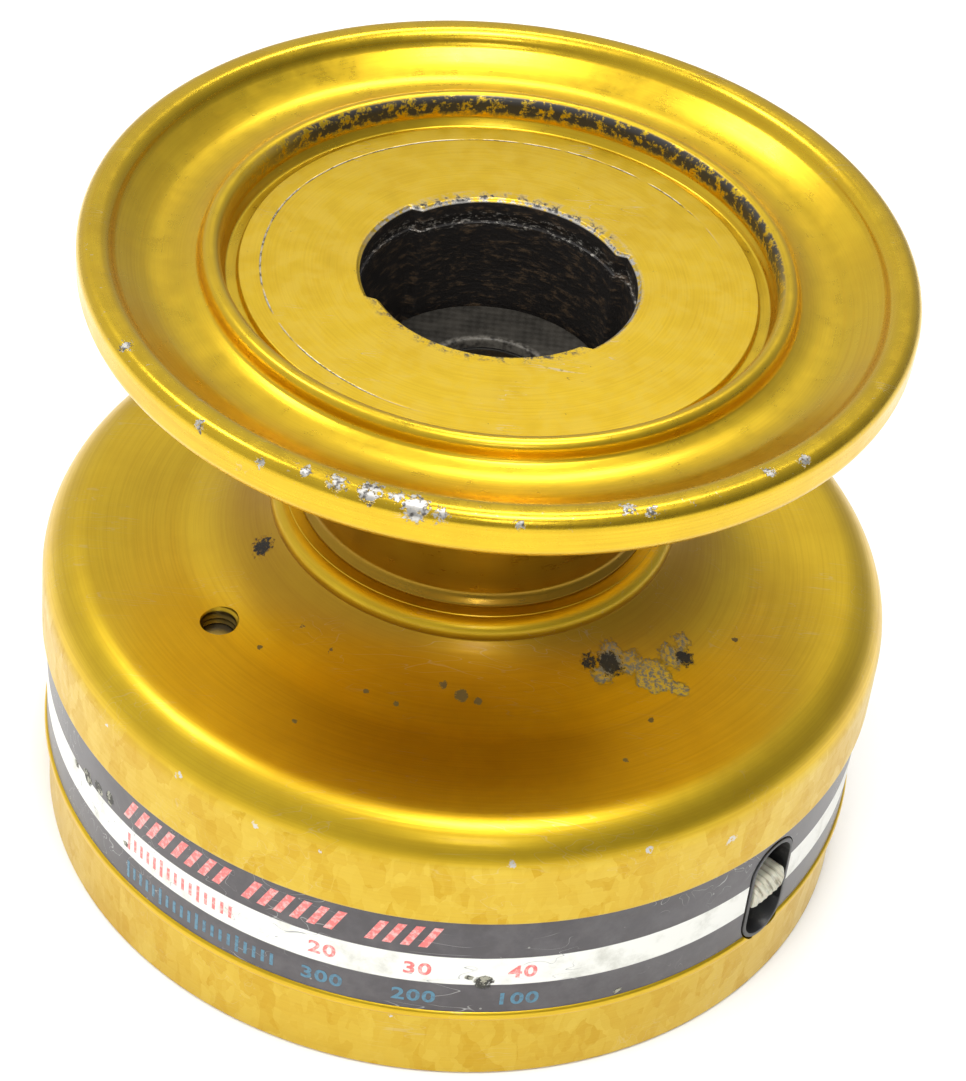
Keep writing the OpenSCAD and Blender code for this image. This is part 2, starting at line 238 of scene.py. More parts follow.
def block(low, high):
    """A plain cutter or bar between two corners."""
    bm = bmesh.new()
    bmesh.ops.create_cube(bm, size=1.0)
    low, high = Vector(low) * MM, Vector(high) * MM
    bmesh.ops.scale(bm, verts=bm.verts[:], vec=high - low)
    bmesh.ops.translate(bm, verts=bm.verts[:], vec=(low + high) / 2)
    return bm


def rod(radius, low, high, steps=48):
    """A round cutter about Z."""
    bm = bmesh.new()
    made = bmesh.ops.create_cone(
        bm, cap_ends=True, segments=steps, radius1=radius * MM, radius2=radius * MM, depth=(high - low) * MM
    )
    bmesh.ops.translate(bm, verts=made["verts"], vec=(0, 0, (low + high) / 2 * MM))
    return bm


def moved(bm, matrix):
    bmesh.ops.transform(bm, matrix=matrix, verts=bm.verts[:])
    return bm


def round_edges(bm, least_angle, offset, segments=2):
    """Rounds every edge that turns by more than least_angle degrees."""
    edges = [e for e in bm.edges if e.is_manifold and e.calc_face_angle() > math.radians(least_angle)]
    bmesh.ops.bevel(
        bm, geom=edges, offset=offset * MM, offset_type="OFFSET", segments=segments,
        profile=0.5, affect="EDGES", material=-1, clamp_overlap=True,
    )
    return bm


def loose(bm, name):
    """A linked object with no place in the frame yet."""
    mesh = bpy.data.meshes.new(name)
    bm.to_mesh(mesh)
    bm.free()
    obj = bpy.data.objects.new(name, mesh)
    bpy.context.scene.collection.objects.link(obj)
    return obj


def carve(bm, name, cutters):
    """Cuts the cutters out of a mesh and gives the result as a mesh again."""
    obj = loose(bm, name)
    tools = [loose(cutter, name + "_cutter") for cutter in cutters]
    for tool in tools:
        modifier = obj.modifiers.new("cut", "BOOLEAN")
        modifier.operation, modifier.solver, modifier.object = "DIFFERENCE", "EXACT", tool
    graph = bpy.context.evaluated_depsgraph_get()
    result = bmesh.new()
    result.from_object(obj, graph)
    for used in [obj, *tools]:
        mesh = used.data
        bpy.data.objects.remove(used)
        bpy.data.meshes.remove(mesh)
    bmesh.ops.remove_doubles(result, verts=result.verts[:], dist=2e-7)
    bmesh.ops.dissolve_degenerate(result, edges=result.edges[:], dist=2e-7)
    return result


def piece(name, bm, material, slot, body, *nodes):
    """Finishes a mesh as a piece that rides on a body and stands for CAD nodes."""
    for face in bm.faces:
        face.smooth = True
    for edge in bm.edges:
        edge.smooth = edge.is_manifold and edge.calc_face_angle() < math.radians(32)
    obj = loose(bm, name)
    obj.data.materials.append(material)
    weights = obj.modifiers.new("even_shading", "WEIGHTED_NORMAL")
    weights.keep_sharp = True
    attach(obj, body)
    if nodes:
        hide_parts(*nodes)
    return obj


def dress(node, material):
    """Gives a CAD node its finish."""
    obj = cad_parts[node]
    if obj.material_slots:
        for material_slot in obj.material_slots:
            material_slot.link = "OBJECT"
            material_slot.material = material
    else:
        obj.data.materials.append(material)


# Finishes


class Finish:
    """A material under construction. Its lengths are in millimetres, measured from the spool's axis and floor."""

    def __init__(self, name, **constants):
        self.material = bpy.data.materials.new(name)
        self.material.use_nodes = True
        self.tree = self.material.node_tree
        self.shader = next(node for node in self.tree.nodes if node.type == "BSDF_PRINCIPLED")
        for socket, value in constants.items():
            self.shader.inputs[socket.replace("_", " ").title().replace("Ior", "IOR")].default_value = value
        self.place = self.vector("SCALE", self.add("TexCoord").outputs["Object"], scale=1000.0)
        self.x, self.y, self.z = self.add("SeparateXYZ", [self.place]).outputs
        flat = self.vector("MULTIPLY", self.place, (1.0, 1.0, 0.0))
        self.r = self.add("VectorMath", [flat], operation="LENGTH").outputs["Value"]
        self.around = self.vector("NORMALIZE", flat)

    def add(self, kind, inputs=(), **settings):
        node = self.tree.nodes.new("ShaderNode" + kind)
        for key, value in settings.items():
            setattr(node, key, value)
        for key, value in inputs.items() if isinstance(inputs, dict) else enumerate(inputs):
            if isinstance(value, bpy.types.NodeSocket):
                self.tree.links.new(value, node.inputs[key])
            else:
                node.inputs[key].default_value = value
        return node

    def math(self, operation, *values):
        return self.add("Math", values, operation=operation).outputs[0]

    def vector(self, operation, *values, scale=None):
        node = self.add("VectorMath", values, operation=operation)
        if scale is not None:
            node.inputs["Scale"].default_value = scale
        return node.outputs["Vector"]

    def step(self, value, low, high):
        """Rises smoothly from 0 at low to 1 at high; low may be the larger."""
        inputs = {"Value": value, "From Min": low, "From Max": high}
        return self.add("MapRange", inputs, interpolation_type="SMOOTHSTEP").outputs["Result"]

    def both(self, *masks):
        result = masks[0]
        for mask in masks[1:]:
            result = self.math("MULTIPLY", result, mask)
        return result

    def either(self, *masks):
        result = masks[0]
        for mask in masks[1:]:
            result = self.math("MAXIMUM", result, mask)
        return result

    def band(self, value, low, high, soft):
        return self.both(self.step(value, low - soft, low + soft), self.step(value, high + soft, high - soft))

    def facing(self, azimuth, half, soft=4.0):
        """1 within half degrees of an azimuth, and 0 beyond soft degrees more."""
        turn = math.radians(azimuth)
        dot = self.add("VectorMath", [self.around, (math.cos(turn), math.sin(turn), 0.0)], operation="DOT_PRODUCT")
        return self.step(dot.outputs["Value"], math.cos(math.radians(half + soft)), math.cos(math.radians(half)))

    def spot(self, azimuth, radius, height, size, soft):
        """1 inside a ball of that size at a place on the spool."""
        turn = math.radians(azimuth)
        centre = (radius * math.cos(turn), radius * math.sin(turn), height)
        far = self.add("VectorMath", [self.place, centre], operation="DISTANCE").outputs["Value"]
        return self.step(far, size + soft, max(0.0, size - soft))

    def plus(self, base, value, amount):
        return self.math("ADD", base, self.math("MULTIPLY", value, amount))

    def stray(self, base, noise, amount):
        """Strays from a base value by a noise about its mean."""
        return self.plus(base, self.math("SUBTRACT", noise, 0.5), amount)

    def blotches(self, spots, soft, weight, noise, low, high):
        """Ragged patches: (azimuth, radius, height, size) spots, with a noise that eats into their edges."""
        near = self.either(*[self.spot(*place, soft) for place in spots])
        return self.step(self.plus(noise, near, weight), low, high)

    def noise(self, scale, detail=3.0, roughness=0.5, vector=None, distortion=0.0):
        inputs = {
            "Vector": vector or self.place, "Scale": scale, "Detail": detail,
            "Roughness": roughness, "Distortion": distortion,
        }
        return self.add("TexNoise", inputs).outputs[0]

    def turning(self, pitch, detail=2.0):
        """Fine lines that run around the axis, as a lathe leaves them."""
        across = self.math("MULTIPLY", self.r, pitch)
        up = self.math("MULTIPLY", self.z, pitch)
        x, y, _ = self.add("SeparateXYZ", [self.vector("SCALE", self.around, scale=2.2)]).outputs
        vector = self.add("CombineXYZ", [x, y, across]).outputs[0]
        inputs = {"Vector": vector, "W": up, "Scale": 1.0, "Detail": detail}
        return self.add("TexNoise", inputs, noise_dimensions="4D").outputs[0]

    def cells(self, scale, feature="F1", vector=None, randomness=1.0):
        inputs = {"Vector": vector or self.place, "Scale": scale, "Randomness": randomness}
        return self.add("TexVoronoi", inputs, feature=feature).outputs

    def specks(self, scale, size, share):
        """Small round spots, on that share of the cells."""
        distance, tint, _ = self.cells(scale)[:3]
        chance = self.add("SeparateColor", [tint]).outputs[0]
        return self.both(self.step(distance, size, size * 0.5), self.step(chance, 1 - share, 1 - share + 0.02))

    def hairlines(self, seed, width, reach=0.55):
        """Thin scratches in many directions."""
        inputs = {"Vector": self.place, "Rotation": (seed, seed * 2.1, seed * 0.7), "Scale": (0.09, 1.1, 0.7)}
        turned_place = self.add("Mapping", inputs).outputs[0]
        line = self.noise(1.0, 1.0, vector=turned_place, distortion=0.6)
        thin = self.step(self.math("ABSOLUTE", self.math("SUBTRACT", line, 0.5)), width, 0.0)
        return self.both(thin, self.step(self.noise(0.16, 2.0), reach, reach + 0.08))

    def blend(self, factor, first, second, how="MIX"):
        inputs = {0: factor, 6: first, 7: second}
        return self.add("Mix", inputs, data_type="RGBA", blend_type=how).outputs[2]

    def lerp(self, factor, first, second):
        return self.add("Mix", {0: factor, 2: first, 3: second}, data_type="FLOAT").outputs[0]

    def bump(self, height, distance, normal=None, strength=1.0):
        """Raises the surface by up to distance millimetres."""
        inputs = {"Height": height, "Distance": distance * MM, "Strength": strength}
        if normal is not None:
            inputs["Normal"] = normal
        return self.add("Bump", inputs).outputs[0]

    def wear(self, **sockets):
        """Links finished sockets to the shader."""
        for name, socket in sockets.items():
            self.tree.links.new(socket, self.shader.inputs[name.replace("_", " ").title()])
        return self.material


def colours():
    """The colours of the panel, each as four plain numbers."""
    group = bpy.context.scene.spool_colours
    return SimpleNamespace(**{name: tuple(getattr(group, name)) for name in group.__annotations__})


def sizes():
    return bpy.context.scene.spool_sizes


def gilded(name):
    """Gold anodising before any wear: a finish, its colour and its turning lines."""
    c = colours()
    finish = Finish(name, metallic=1.0, coat_weight=0.25, coat_roughness=0.2, coat_ior=1.5)
    lines = finish.turning(7.0, 3.0)
    fine = finish.turning(26.0, 1.0)
    cloud = finish.noise(0.22, 4.0, 0.6)
    tone = finish.blend(finish.step(cloud, 0.38, 0.68), c.gold, c.deep_gold)
    tone = finish.blend(0.35, c.gold, tone)
    tone = finish.blend(finish.both(finish.step(lines, 0.35, 0.75), 0.5), tone, c.deep_gold)
    return finish, tone, lines, fine


def hub_finish():
    """Anodised hub: matt disc, satin lips, chipped edge and a greasy black cavity."""
    c = colours()
    f, tone, lines, fine = gilded("hub_gold")
    disc_height = 47.4
    below_disc = f.step(f.z, disc_height - 0.12, disc_height - 0.3)
    inside = f.both(f.step(f.r, 9.9, 9.75), below_disc, f.step(f.z, 29.0, 31.0))
    disc = f.both(f.step(f.r, 17.9, 17.6), f.band(f.z, disc_height - 0.2, disc_height + 0.2, 0.1))
    lip = f.both(f.step(f.r, 25.6, 26.4), f.step(f.z, 47.6, 48.6))
    seat_wall = f.both(f.band(f.r, 18.4, 19.25, 0.1), f.step(f.z, 46.8, 47.4))

    mottle = f.noise(0.55, 5.0, 0.65, distortion=0.4)
    tone = f.blend(f.both(disc, f.step(mottle, 0.42, 0.62), 0.45), tone, c.pale_gold)
    ragged = f.noise(1.6, 5.0, 0.7)

    # Silver ring that the knob has rubbed into the disc
    rub = f.band(f.plus(f.r, f.noise(0.1, 1.0), 0.3), 16.27, 16.37, 0.05)
    rub = f.both(rub, disc, f.facing(140.0, 95.0, 25.0), f.step(f.noise(0.5, 3.0), 0.36, 0.52))

    # Chips and scratches through the anodising at the lip
    edge_noise = f.noise(2.4, 4.0, 0.7, distortion=0.8)
    high_edge = f.both(lip, f.step(f.z, 48.9, 49.5), f.step(f.r, 27.0, 27.6))
    chip_spots = [
        (-97.0, 28.0, 49.6, 1.1), (-93.8, 28.1, 49.5, 0.7), (-103.0, 27.7, 49.8, 1.0), (-107.5, 27.8, 49.8, 0.8),
        (-112.0, 27.8, 49.8, 0.5), (-99.5, 27.6, 49.9, 0.6),
        (-84.0, 28.2, 49.4, 0.35), (-70.0, 27.6, 49.9, 0.6), (-67.0, 27.9, 49.7, 0.45), (-128.0, 28.2, 49.5, 0.45),
        (-49.0, 27.6, 49.9, 0.5), (-43.0, 27.9, 49.8, 0.45), (-146.0, 27.8, 49.8, 0.5), (-118.0, 28.2, 49.4, 0.35),
    ]
    chips = f.blotches(chip_spots, 0.7, 0.5, edge_noise, 0.86, 0.93)
    rubbed = f.both(high_edge, f.step(edge_noise, 0.66, 0.71), f.facing(-95.0, 70.0, 30.0))
    scratch = f.both(f.either(f.hairlines(0.8, 0.006), f.hairlines(2.3, 0.005)), f.either(lip, disc), 0.5)
    bare = f.either(f.both(chips, lip), rubbed, rub, scratch)

    # Grease line inside the raised ring, and a stain around the cavity
    ring_height = f.plus(f.z, ragged, 1.3)
    grime = f.both(seat_wall, f.facing(75.0, 60.0, 40.0), f.step(ring_height, 48.2, 48.75), f.step(ragged, 0.36, 0.5))
    mouth = f.both(disc, f.step(f.plus(f.r, ragged, -1.4), 9.2, 8.3), f.step(ragged, 0.45, 0.62))
    stains = f.both(disc, f.step(f.noise(1.1, 5.0, 0.8), 0.66, 0.72))
    bits = f.both(f.step(f.noise(2.6, 4.0, 0.8), 0.72, 0.77), f.step(f.noise(0.2, 1.0), 0.4, 0.6))

    # Bare chamfer at the cavity's mouth
    chamfer_heights = f.band(f.z, disc_height - 0.3, disc_height - 0.02, 0.05)
    chamfer = f.both(f.step(f.r, 9.95, 9.7), chamfer_heights, f.step(ragged, 0.40, 0.55), f.facing(60.0, 85.0, 35.0))

    # Painted shade: the arbor and the root of the flange, deep in the line bay, are darkened to brown
    arbor = f.both(f.step(f.r, 15.5, 12.8), f.step(f.z, 45.5, 43.0), f.step(f.r, 9.8, 10.2))
    tone = f.blend(f.both(arbor, 0.72), tone, (0.20, 0.085, 0.006, 1.0))
    tone = f.blend(f.both(f.either(stains, bits), 0.6), tone, (0.10, 0.07, 0.035, 1.0))
    silver = f.blend(f.step(ragged, 0.40, 0.52), (0.12, 0.11, 0.10, 1.0), c.bare_metal)
    tone = f.blend(f.either(bare, chamfer), tone, silver)
    tone = f.blend(f.either(grime, mouth), tone, c.grime)

    # Cavity wall: black grease over rubbed metal, with brown and pale scratches
    wall_place = f.add("Mapping", {"Vector": f.place, "Scale": (1.0, 1.0, 2.6)}).outputs[0]
    wall_noise = f.noise(0.9, 6.0, 0.75, vector=wall_place)
    streaks = f.step(wall_noise, 0.50, 0.72)
    wall = f.blend(streaks, (0.012, 0.010, 0.009, 1.0), (0.16, 0.105, 0.06, 1.0))
    dashes = f.both(f.band(f.z, 45.2, 46.3, 0.25), f.step(f.noise(1.8, 4.0, 0.8, vector=wall_place), 0.54, 0.62))
    wall = f.blend(dashes, wall, (0.36, 0.34, 0.30, 1.0))
    tone = f.blend(inside, tone, wall)

    grease = f.both(inside, f.math("SUBTRACT", 0.85, f.math("MULTIPLY", streaks, 0.5)))
    metallic = f.math("SUBTRACT", 1.0, f.either(grime, mouth, grease))
    rough = f.lerp(disc, 0.32, 0.44)
    rough = f.lerp(lip, rough, 0.27)
    rough = f.stray(rough, mottle, 0.30)
    rough = f.stray(rough, lines, 0.18)
    rough = f.lerp(f.either(bare, chamfer), rough, 0.38)
    rough = f.lerp(f.either(grime, mouth, inside), rough, 0.55)
    normal = f.bump(fine, 0.0016)
    normal = f.bump(lines, 0.004, normal)
    normal = f.bump(f.math("SUBTRACT", 1.0, f.either(chips, rub)), 0.03, normal)
    normal = f.bump(f.both(inside, wall_noise), 0.12, normal)
    return f.wear(base_color=tone, metallic=metallic, roughness=rough, normal=normal)


def skirt_finish():
    """Anodised skirt: matt mottled walls, satin shoulder and painted shade in the cove."""
    c = colours()
    f, tone, lines, fine = gilded("skirt_gold")
    upper_wall = f.both(f.step(f.r, 30.3, 30.55), f.step(f.z, 21.9, 21.3), f.step(f.z, 15.9, 16.1))
    base = f.both(f.step(f.r, 29.6, 29.9), f.step(f.z, 5.95, 5.8))
    wall = f.either(upper_wall, base)
    inner = f.both(f.step(f.r, 28.9, 28.5), f.step(f.z, 21.8, 21.65))

    # Patches of the matt walls, taller than they are wide
    tall = f.add("Mapping", {"Vector": f.place, "Scale": (1.0, 1.0, 0.55)}).outputs[0]
    bend = f.add("TexNoise", {"Vector": tall, "Scale": 1.1}).outputs[1]
    bent = f.vector("ADD", tall, f.vector("SCALE", bend, scale=0.9))
    patch = f.add("SeparateColor", [f.cells(0.62, vector=bent)[1]]).outputs[0]
    small = f.add("SeparateColor", [f.cells(1.5, vector=bent)[1]]).outputs[1]
    patches = f.math("ADD", f.math("MULTIPLY", patch, 0.6), f.math("MULTIPLY", small, 0.4))
    matt = f.blend(patches, c.pale_gold, c.deep_gold)
    tone = f.blend(f.both(wall, 0.85), tone, matt)

    ragged = f.noise(1.5, 6.0, 0.72)
    crumbs = f.noise(3.2, 5.0, 0.75)

    # Corroded patch where the cove meets the flange, and a green one by the bead
    crust_spots = [
        (-43.5, 19.0, 24.4, 1.5), (-49.5, 16.7, 26.0, 1.2), (-36.0, 18.6, 24.8, 1.1), (-46.0, 17.6, 25.2, 1.1),
        (-41.0, 20.8, 24.0, 0.7), (-31.0, 18.3, 24.9, 0.7), (-54.0, 17.4, 25.2, 0.9), (-158.0, 16.0, 27.4, 0.9),
    ]
    crust = f.blotches(crust_spots, 0.9, 0.62, ragged, 0.82, 0.95)
    black_spots = [
        (-51.0, 17.0, 25.4, 1.0), (-34.0, 19.2, 24.5, 0.6), (-56.0, 16.6, 25.9, 0.6), (-157.0, 15.6, 26.0, 0.8),
    ]
    black = f.blotches(black_spots, 0.9, 0.45, crumbs, 0.74, 0.84)
    crust = f.either(crust, black)
    grey = f.both(crust, f.step(crumbs, 0.56, 0.42))

    dot_spots = [
        (-87.7, 17.7, 24.9, 0.55), (-92.0, 17.2, 25.3, 0.4), (-84.0, 18.0, 24.7, 0.35), (-22.1, 21.0, 24.0, 0.28),
        (-51.1, 21.9, 24.0, 0.30), (-101.0, 19.0, 24.4, 0.25), (-129.6, 17.0, 25.6, 0.45), (-120.0, 17.3, 25.3, 0.35),
        (-108.0, 18.8, 24.4, 0.22), (-133.0, 19.8, 24.2, 0.25), (-116.0, 23.5, 24.0, 0.2), (-60.0, 24.5, 24.0, 0.22),
        (-70.0, 16.3, 26.6, 0.35), (-64.0, 16.2, 26.9, 0.3), (150.0, 19.0, 24.4, 0.4), (60.0, 18.0, 24.9, 0.5),
    ]
    dots = f.blotches(dot_spots, 0.28, 0.6, crumbs, 0.88, 0.96)
    specks = f.both(f.step(f.noise(2.3, 4.0, 0.8), 0.72, 0.77), f.step(f.noise(0.15, 2.0), 0.42, 0.58))

    # Painted shade in the cove under the hub's flange, browner towards the arbor
    cove = f.both(f.step(f.r, 20.5, 15.5), f.step(f.z, 23.6, 23.95), f.step(f.z, 28.0, 26.8))
    tone = f.blend(f.both(cove, 0.65), tone, (0.32, 0.145, 0.008, 1.0))

    scuffs = f.both(f.either(f.hairlines(1.4, 0.008, 0.5), f.hairlines(3.3, 0.006, 0.5)), 0.14)
    nick_spots = [
        (-80.0, 30.5, 21.9, 0.5), (-62.0, 30.5, 21.6, 0.5), (-125.0, 30.5, 21.4, 0.5), (-113.0, 30.5, 20.9, 0.45),
        (-104.0, 30.5, 20.6, 0.35), (-49.0, 30.5, 19.5, 0.6), (-139.0, 30.5, 20.5, 0.4), (-93.0, 30.1, 5.6, 0.35),
    ]
    nicks = f.blotches(nick_spots, 0.4, 0.5, f.noise(3.4, 4.0, 0.7), 0.92, 1.0)

    tone = f.blend(f.either(scuffs, nicks), tone, c.bare_metal)
    tone = f.blend(f.both(f.either(specks, dots), 0.85), tone, (0.055, 0.04, 0.022, 1.0))
    tone = f.blend(grey, tone, c.corrosion)
    tone = f.blend(black, tone, c.grime)
    # Painted shade inside the tapped hole
    hole = f.both(f.spot(-143.7, 20.6, 23.0, 1.7, 0.2), f.step(f.z, 24.0, 23.8))
    tone = f.blend(f.both(hole, 0.85), tone, (0.05, 0.032, 0.012, 1.0))
    tone = f.blend(f.both(inner, 0.5), tone, c.deep_gold)

    dull = f.either(crust, f.both(f.either(specks, dots), 0.7))
    rough = f.lerp(wall, 0.40, f.plus(0.38, patches, 0.14))
    rough = f.stray(rough, ragged, 0.16)
    rough = f.stray(rough, lines, 0.22)
    rough = f.lerp(dull, rough, 0.8)
    normal = f.bump(fine, 0.0018)
    normal = f.bump(lines, 0.006, normal)
    normal = f.bump(f.both(wall, patches), 0.006, normal)
    normal = f.bump(f.both(crust, crumbs), 0.14, normal)
    return f.wear(base_color=tone, metallic=f.math("SUBTRACT", 1.0, dull), roughness=rough, normal=normal)


def label_finish():
    """Glossy film with a white stripe between two dark ones, rubbed and nicked."""
    c = colours()
    f = Finish("label_film_print", coat_weight=0.3, coat_roughness=0.15)
    ragged = f.noise(1.4, 6.0, 0.7)
    wander = f.math("MULTIPLY", f.math("SUBTRACT", f.noise(0.8, 3.0), 0.5), 0.05)
    height = f.math("ADD", f.z, wander)
    white = f.band(height, 9.67, 12.335, 0.03)
    dirt = f.noise(0.35, 5.0, 0.65)
    paper = f.blend(f.step(dirt, 0.45, 0.75), c.label_white, (0.60, 0.60, 0.53, 1.0))
    dark = f.blend(f.step(dirt, 0.35, 0.7), c.label_dark, (0.085, 0.077, 0.083, 1.0))
    tone = f.blend(white, dark, paper)
    scuff_spots = [
        (-145.0, 30.2, 12.5, 0.8), (-142.0, 30.2, 12.9, 0.7), (-139.0, 30.2, 13.2, 0.7), (-148.5, 30.2, 12.1, 0.5),
        (-81.4, 30.2, 9.9, 0.85), (-83.5, 30.2, 10.4, 0.3), (-62.7, 30.2, 7.3, 0.45), (-135.0, 30.2, 10.4, 0.3),
        (20.0, 30.2, 12.0, 0.8), (110.0, 30.2, 8.5, 0.6),
    ]
    scuff = f.blotches(scuff_spots, 0.45, 0.6, ragged, 0.92, 1.0)
    flecks = f.both(f.specks(1.1, 0.13, 0.07), 0.8)
    tone = f.blend(flecks, tone, f.blend(white, (0.30, 0.30, 0.28, 1.0), (0.16, 0.15, 0.12, 1.0)))
    tone = f.blend(f.hairlines(2.0, 0.007, 0.5), tone, (0.34, 0.34, 0.33, 1.0))
    tone = f.blend(scuff, tone, f.blend(f.step(ragged, 0.5, 0.56), (0.03, 0.028, 0.02, 1.0), (0.36, 0.35, 0.27, 1.0)))
    rough = f.plus(0.30, dirt, 0.16)
    rough = f.lerp(scuff, rough, 0.75)
    normal = f.bump(f.math("SUBTRACT", 1.0, scuff), 0.05)
    normal = f.bump(dirt, 0.015, normal)
    return f.wear(base_color=tone, roughness=rough, normal=normal)


def print_finish(name, tint, worn):
    """Screen-printed ink with thin spots."""
    f = Finish(name, coat_weight=0.4, coat_roughness=0.15)
    thin = f.step(f.noise(2.8, 4.0, 0.65), 0.44, 0.66)
    tone = f.blend(f.both(thin, 0.45), tint, worn)
    return f.wear(base_color=tone, roughness=f.plus(0.32, thin, 0.15), normal=f.bump(thin, 0.004))


def moulding_finish():
    """Black moulded plastic with a fine grain and patches of dust."""
    c = colours()
    f = Finish("black_moulding", coat_weight=0.25, coat_roughness=0.3)
    grain = f.noise(9.0, 3.0, 0.6)
    dust = f.step(f.noise(1.3, 5.0, 0.7), 0.52, 0.72)
    tone = f.blend(f.both(dust, 0.45), c.moulding, (0.11, 0.105, 0.09, 1.0))
    rough = f.plus(0.34, grain, 0.2)
    return f.wear(base_color=tone, roughness=rough, normal=f.bump(grain, 0.008))


def nylon_finish(name, direction):
    """Pale nylon, drawn into streaks along a direction and browned in the grooves."""
    c = colours()
    f = Finish(name, subsurface_weight=0.12, subsurface_scale=0.0006)
    across = f.add("VectorMath", [f.place, tuple(direction)], operation="DOT_PRODUCT").outputs["Value"]
    stretched = f.add("CombineXYZ", [f.math("MULTIPLY", across, 3.4), 0.0, f.math("MULTIPLY", f.z, 0.35)]).outputs[0]
    streak = f.noise(1.0, 3.0, 0.6, vector=stretched)
    dirt = f.step(streak, 0.55, 0.36)
    blotch = f.step(f.noise(1.2, 4.0, 0.6), 0.45, 0.75)
    tone = f.blend(f.both(dirt, 0.75), c.nylon, (0.17, 0.145, 0.085, 1.0))
    tone = f.blend(f.both(blotch, 0.3), tone, (0.86, 0.86, 0.80, 1.0))
    rough = f.plus(0.36, dirt, 0.25)
    return f.wear(base_color=tone, roughness=rough, normal=f.bump(streak, 0.05))


def fibre_finish():
    """Greased woven drag washer, rubbed pale at its inner edge."""
    c = colours()
    f = Finish("greased_fibre", specular_ior_level=0.3)
    weave_x = f.math("SINE", f.math("MULTIPLY", f.math("ADD", f.x, f.y), 5.6))
    weave_y = f.math("SINE", f.math("MULTIPLY", f.math("SUBTRACT", f.x, f.y), 5.6))
    weave = f.math("MULTIPLY", weave_x, weave_y)
    smear = f.noise(0.6, 5.0, 0.6)
    tone = f.blend(f.step(smear, 0.35, 0.7), c.fibre, (0.035, 0.031, 0.025, 1.0))
    tone = f.blend(f.both(f.step(weave, -0.6, 0.8), 0.22), tone, (0.06, 0.055, 0.047, 1.0))
    edge = f.both(f.step(f.r, 5.15, 4.75), f.step(f.noise(1.6, 4.0, 0.6), 0.35, 0.6))
    tone = f.blend(f.both(edge, 0.7), tone, (0.17, 0.155, 0.13, 1.0))
    rough = f.plus(0.30, smear, 0.3)
    normal = f.bump(weave, 0.012)
    return f.wear(base_color=tone, roughness=rough, normal=f.bump(smear, 0.03, normal))


def metal_finish(name, tint, dark, centre=(0.0, 0.0), lines_pitch=9.0):
    """Turned or stamped metal about an upright axis, with stains and fine lines."""
    f = Finish(name, metallic=1.0)
    shifted = f.vector("SUBTRACT", f.place, (centre[0], centre[1], 0.0))
    x, y, _ = f.add("SeparateXYZ", [shifted]).outputs
    radius = f.math("SQRT", f.math("ADD", f.math("MULTIPLY", x, x), f.math("MULTIPLY", y, y)))
    vector = f.add("CombineXYZ", [f.math("MULTIPLY", radius, lines_pitch), 0.0, f.math("MULTIPLY", f.z, lines_pitch)])
    lines = f.noise(1.0, 2.0, vector=vector.outputs[0])
    stain = f.step(f.noise(0.7, 5.0, 0.65), 0.45, 0.7)
    tone = f.blend(f.both(stain, 0.6), tint, dark)
    rough = f.plus(0.26, f.math("ADD", stain, lines), 0.16)
    return f.wear(base_color=tone, roughness=rough, normal=f.bump(lines, 0.006))


# Operators, one for each piece or group of like pieces


class SpoolOperator(bpy.types.Operator):
    bl_options = {"REGISTER", "UNDO"}


def hub_section(s):
    """Half section of the hub, from the cavity's floor outwards and back."""
    flange, seat, disc_r, arbor, cavity = (
        v / MM for v in (s.flange_radius, s.seat_radius, s.disc_radius, s.arbor_radius, s.cavity_radius)
    )
    crest = s.crest_height / MM
    disc, low = crest - 2.55, HUB_LOW.z / MM
    web, channel, pocket, floor = disc - 2.4, disc + 0.6, BUSH_HIGH.z / MM, 31.9
    return [
        (4.6, floor, 0.15), (4.6, pocket, 0.1), (6.2, pocket, 0), (6.2, low, 0.15),
        (11.5, low, 0.3), (11.5, SEAM, 0), (arbor + 0.5, SEAM, 0.05), (arbor + 0.5, SEAM + 0.2, 0.1),
        (arbor, SEAM + 0.7, 0.3), (arbor, web, 1.5), (flange - 3.0, web + 1.3, 0.6),
        (flange - 0.08, crest - 3.23, 0.93), (flange, crest, 0.95), (flange - 2.1, crest - 0.02, 0.66),
        (flange - 2.5, crest - 0.95, 0.3), (flange - 4.1, channel, 0.6), (seat + 3.45, channel - 0.8, 1.6),
        (seat + 1.4, channel, 0.3), (seat + 1.4, disc + 1.8, 0.69), (seat, disc + 1.8, 0.68),
        (seat, disc + 0.1, 0.1), (seat - 0.4, disc - 0.5, 0.12), (disc_r, disc - 0.5, 0.14), (disc_r, disc, 0.13),
        (cavity + 0.25, disc, 0.05), (cavity, disc - 0.25, 0.04),
        (cavity, disc - 1.3, 0.03), (cavity + 0.16, disc - 1.36, 0.03),
        (cavity + 0.16, disc - 1.94, 0.03), (cavity, disc - 2.0, 0.03),
        (cavity, EAR_FLOOR, 0), (cavity - 0.05, EAR_FLOOR, 0), (cavity - 0.05, floor, 0.1),
    ]


def open_ear_slots(bm, s, turn=-10.5):
    """Pushes the cavity's wall out into its two ear slots."""
    inner, outer, floor = s.cavity_radius - 0.02 * MM, s.cavity_radius + 0.35 * MM, (EAR_FLOOR - 0.01) * MM
    for vert in bm.verts:
        radius = math.hypot(vert.co.x, vert.co.y)
        if inner < radius < outer and vert.co.z > floor:
            side = abs(math.sin(math.atan2(vert.co.y, vert.co.x) - math.radians(turn)))
            wall = min(s.ear_radius, max(s.cavity_radius, s.ear_half_width / max(side, 1e-6)))
            grown = (radius + wall - s.cavity_radius) / radius
            vert.co.x *= grown
            vert.co.y *= grown


class SPOOL_OT_hub(SpoolOperator):
    """Turn the hub with its front flange, arbor and drag cavity"""

    bl_idname = "spool.hub"
    bl_label = "Hub and arbor"

    def execute(self, context):
        s = sizes()
        bm = turned(hub_section(s), s.turn_steps)
        open_ear_slots(bm, s)
        piece("spool_hub", bm, hub_finish(), "anodised_gold", "spool", "hub_arbor")
        return {"FINISHED"}


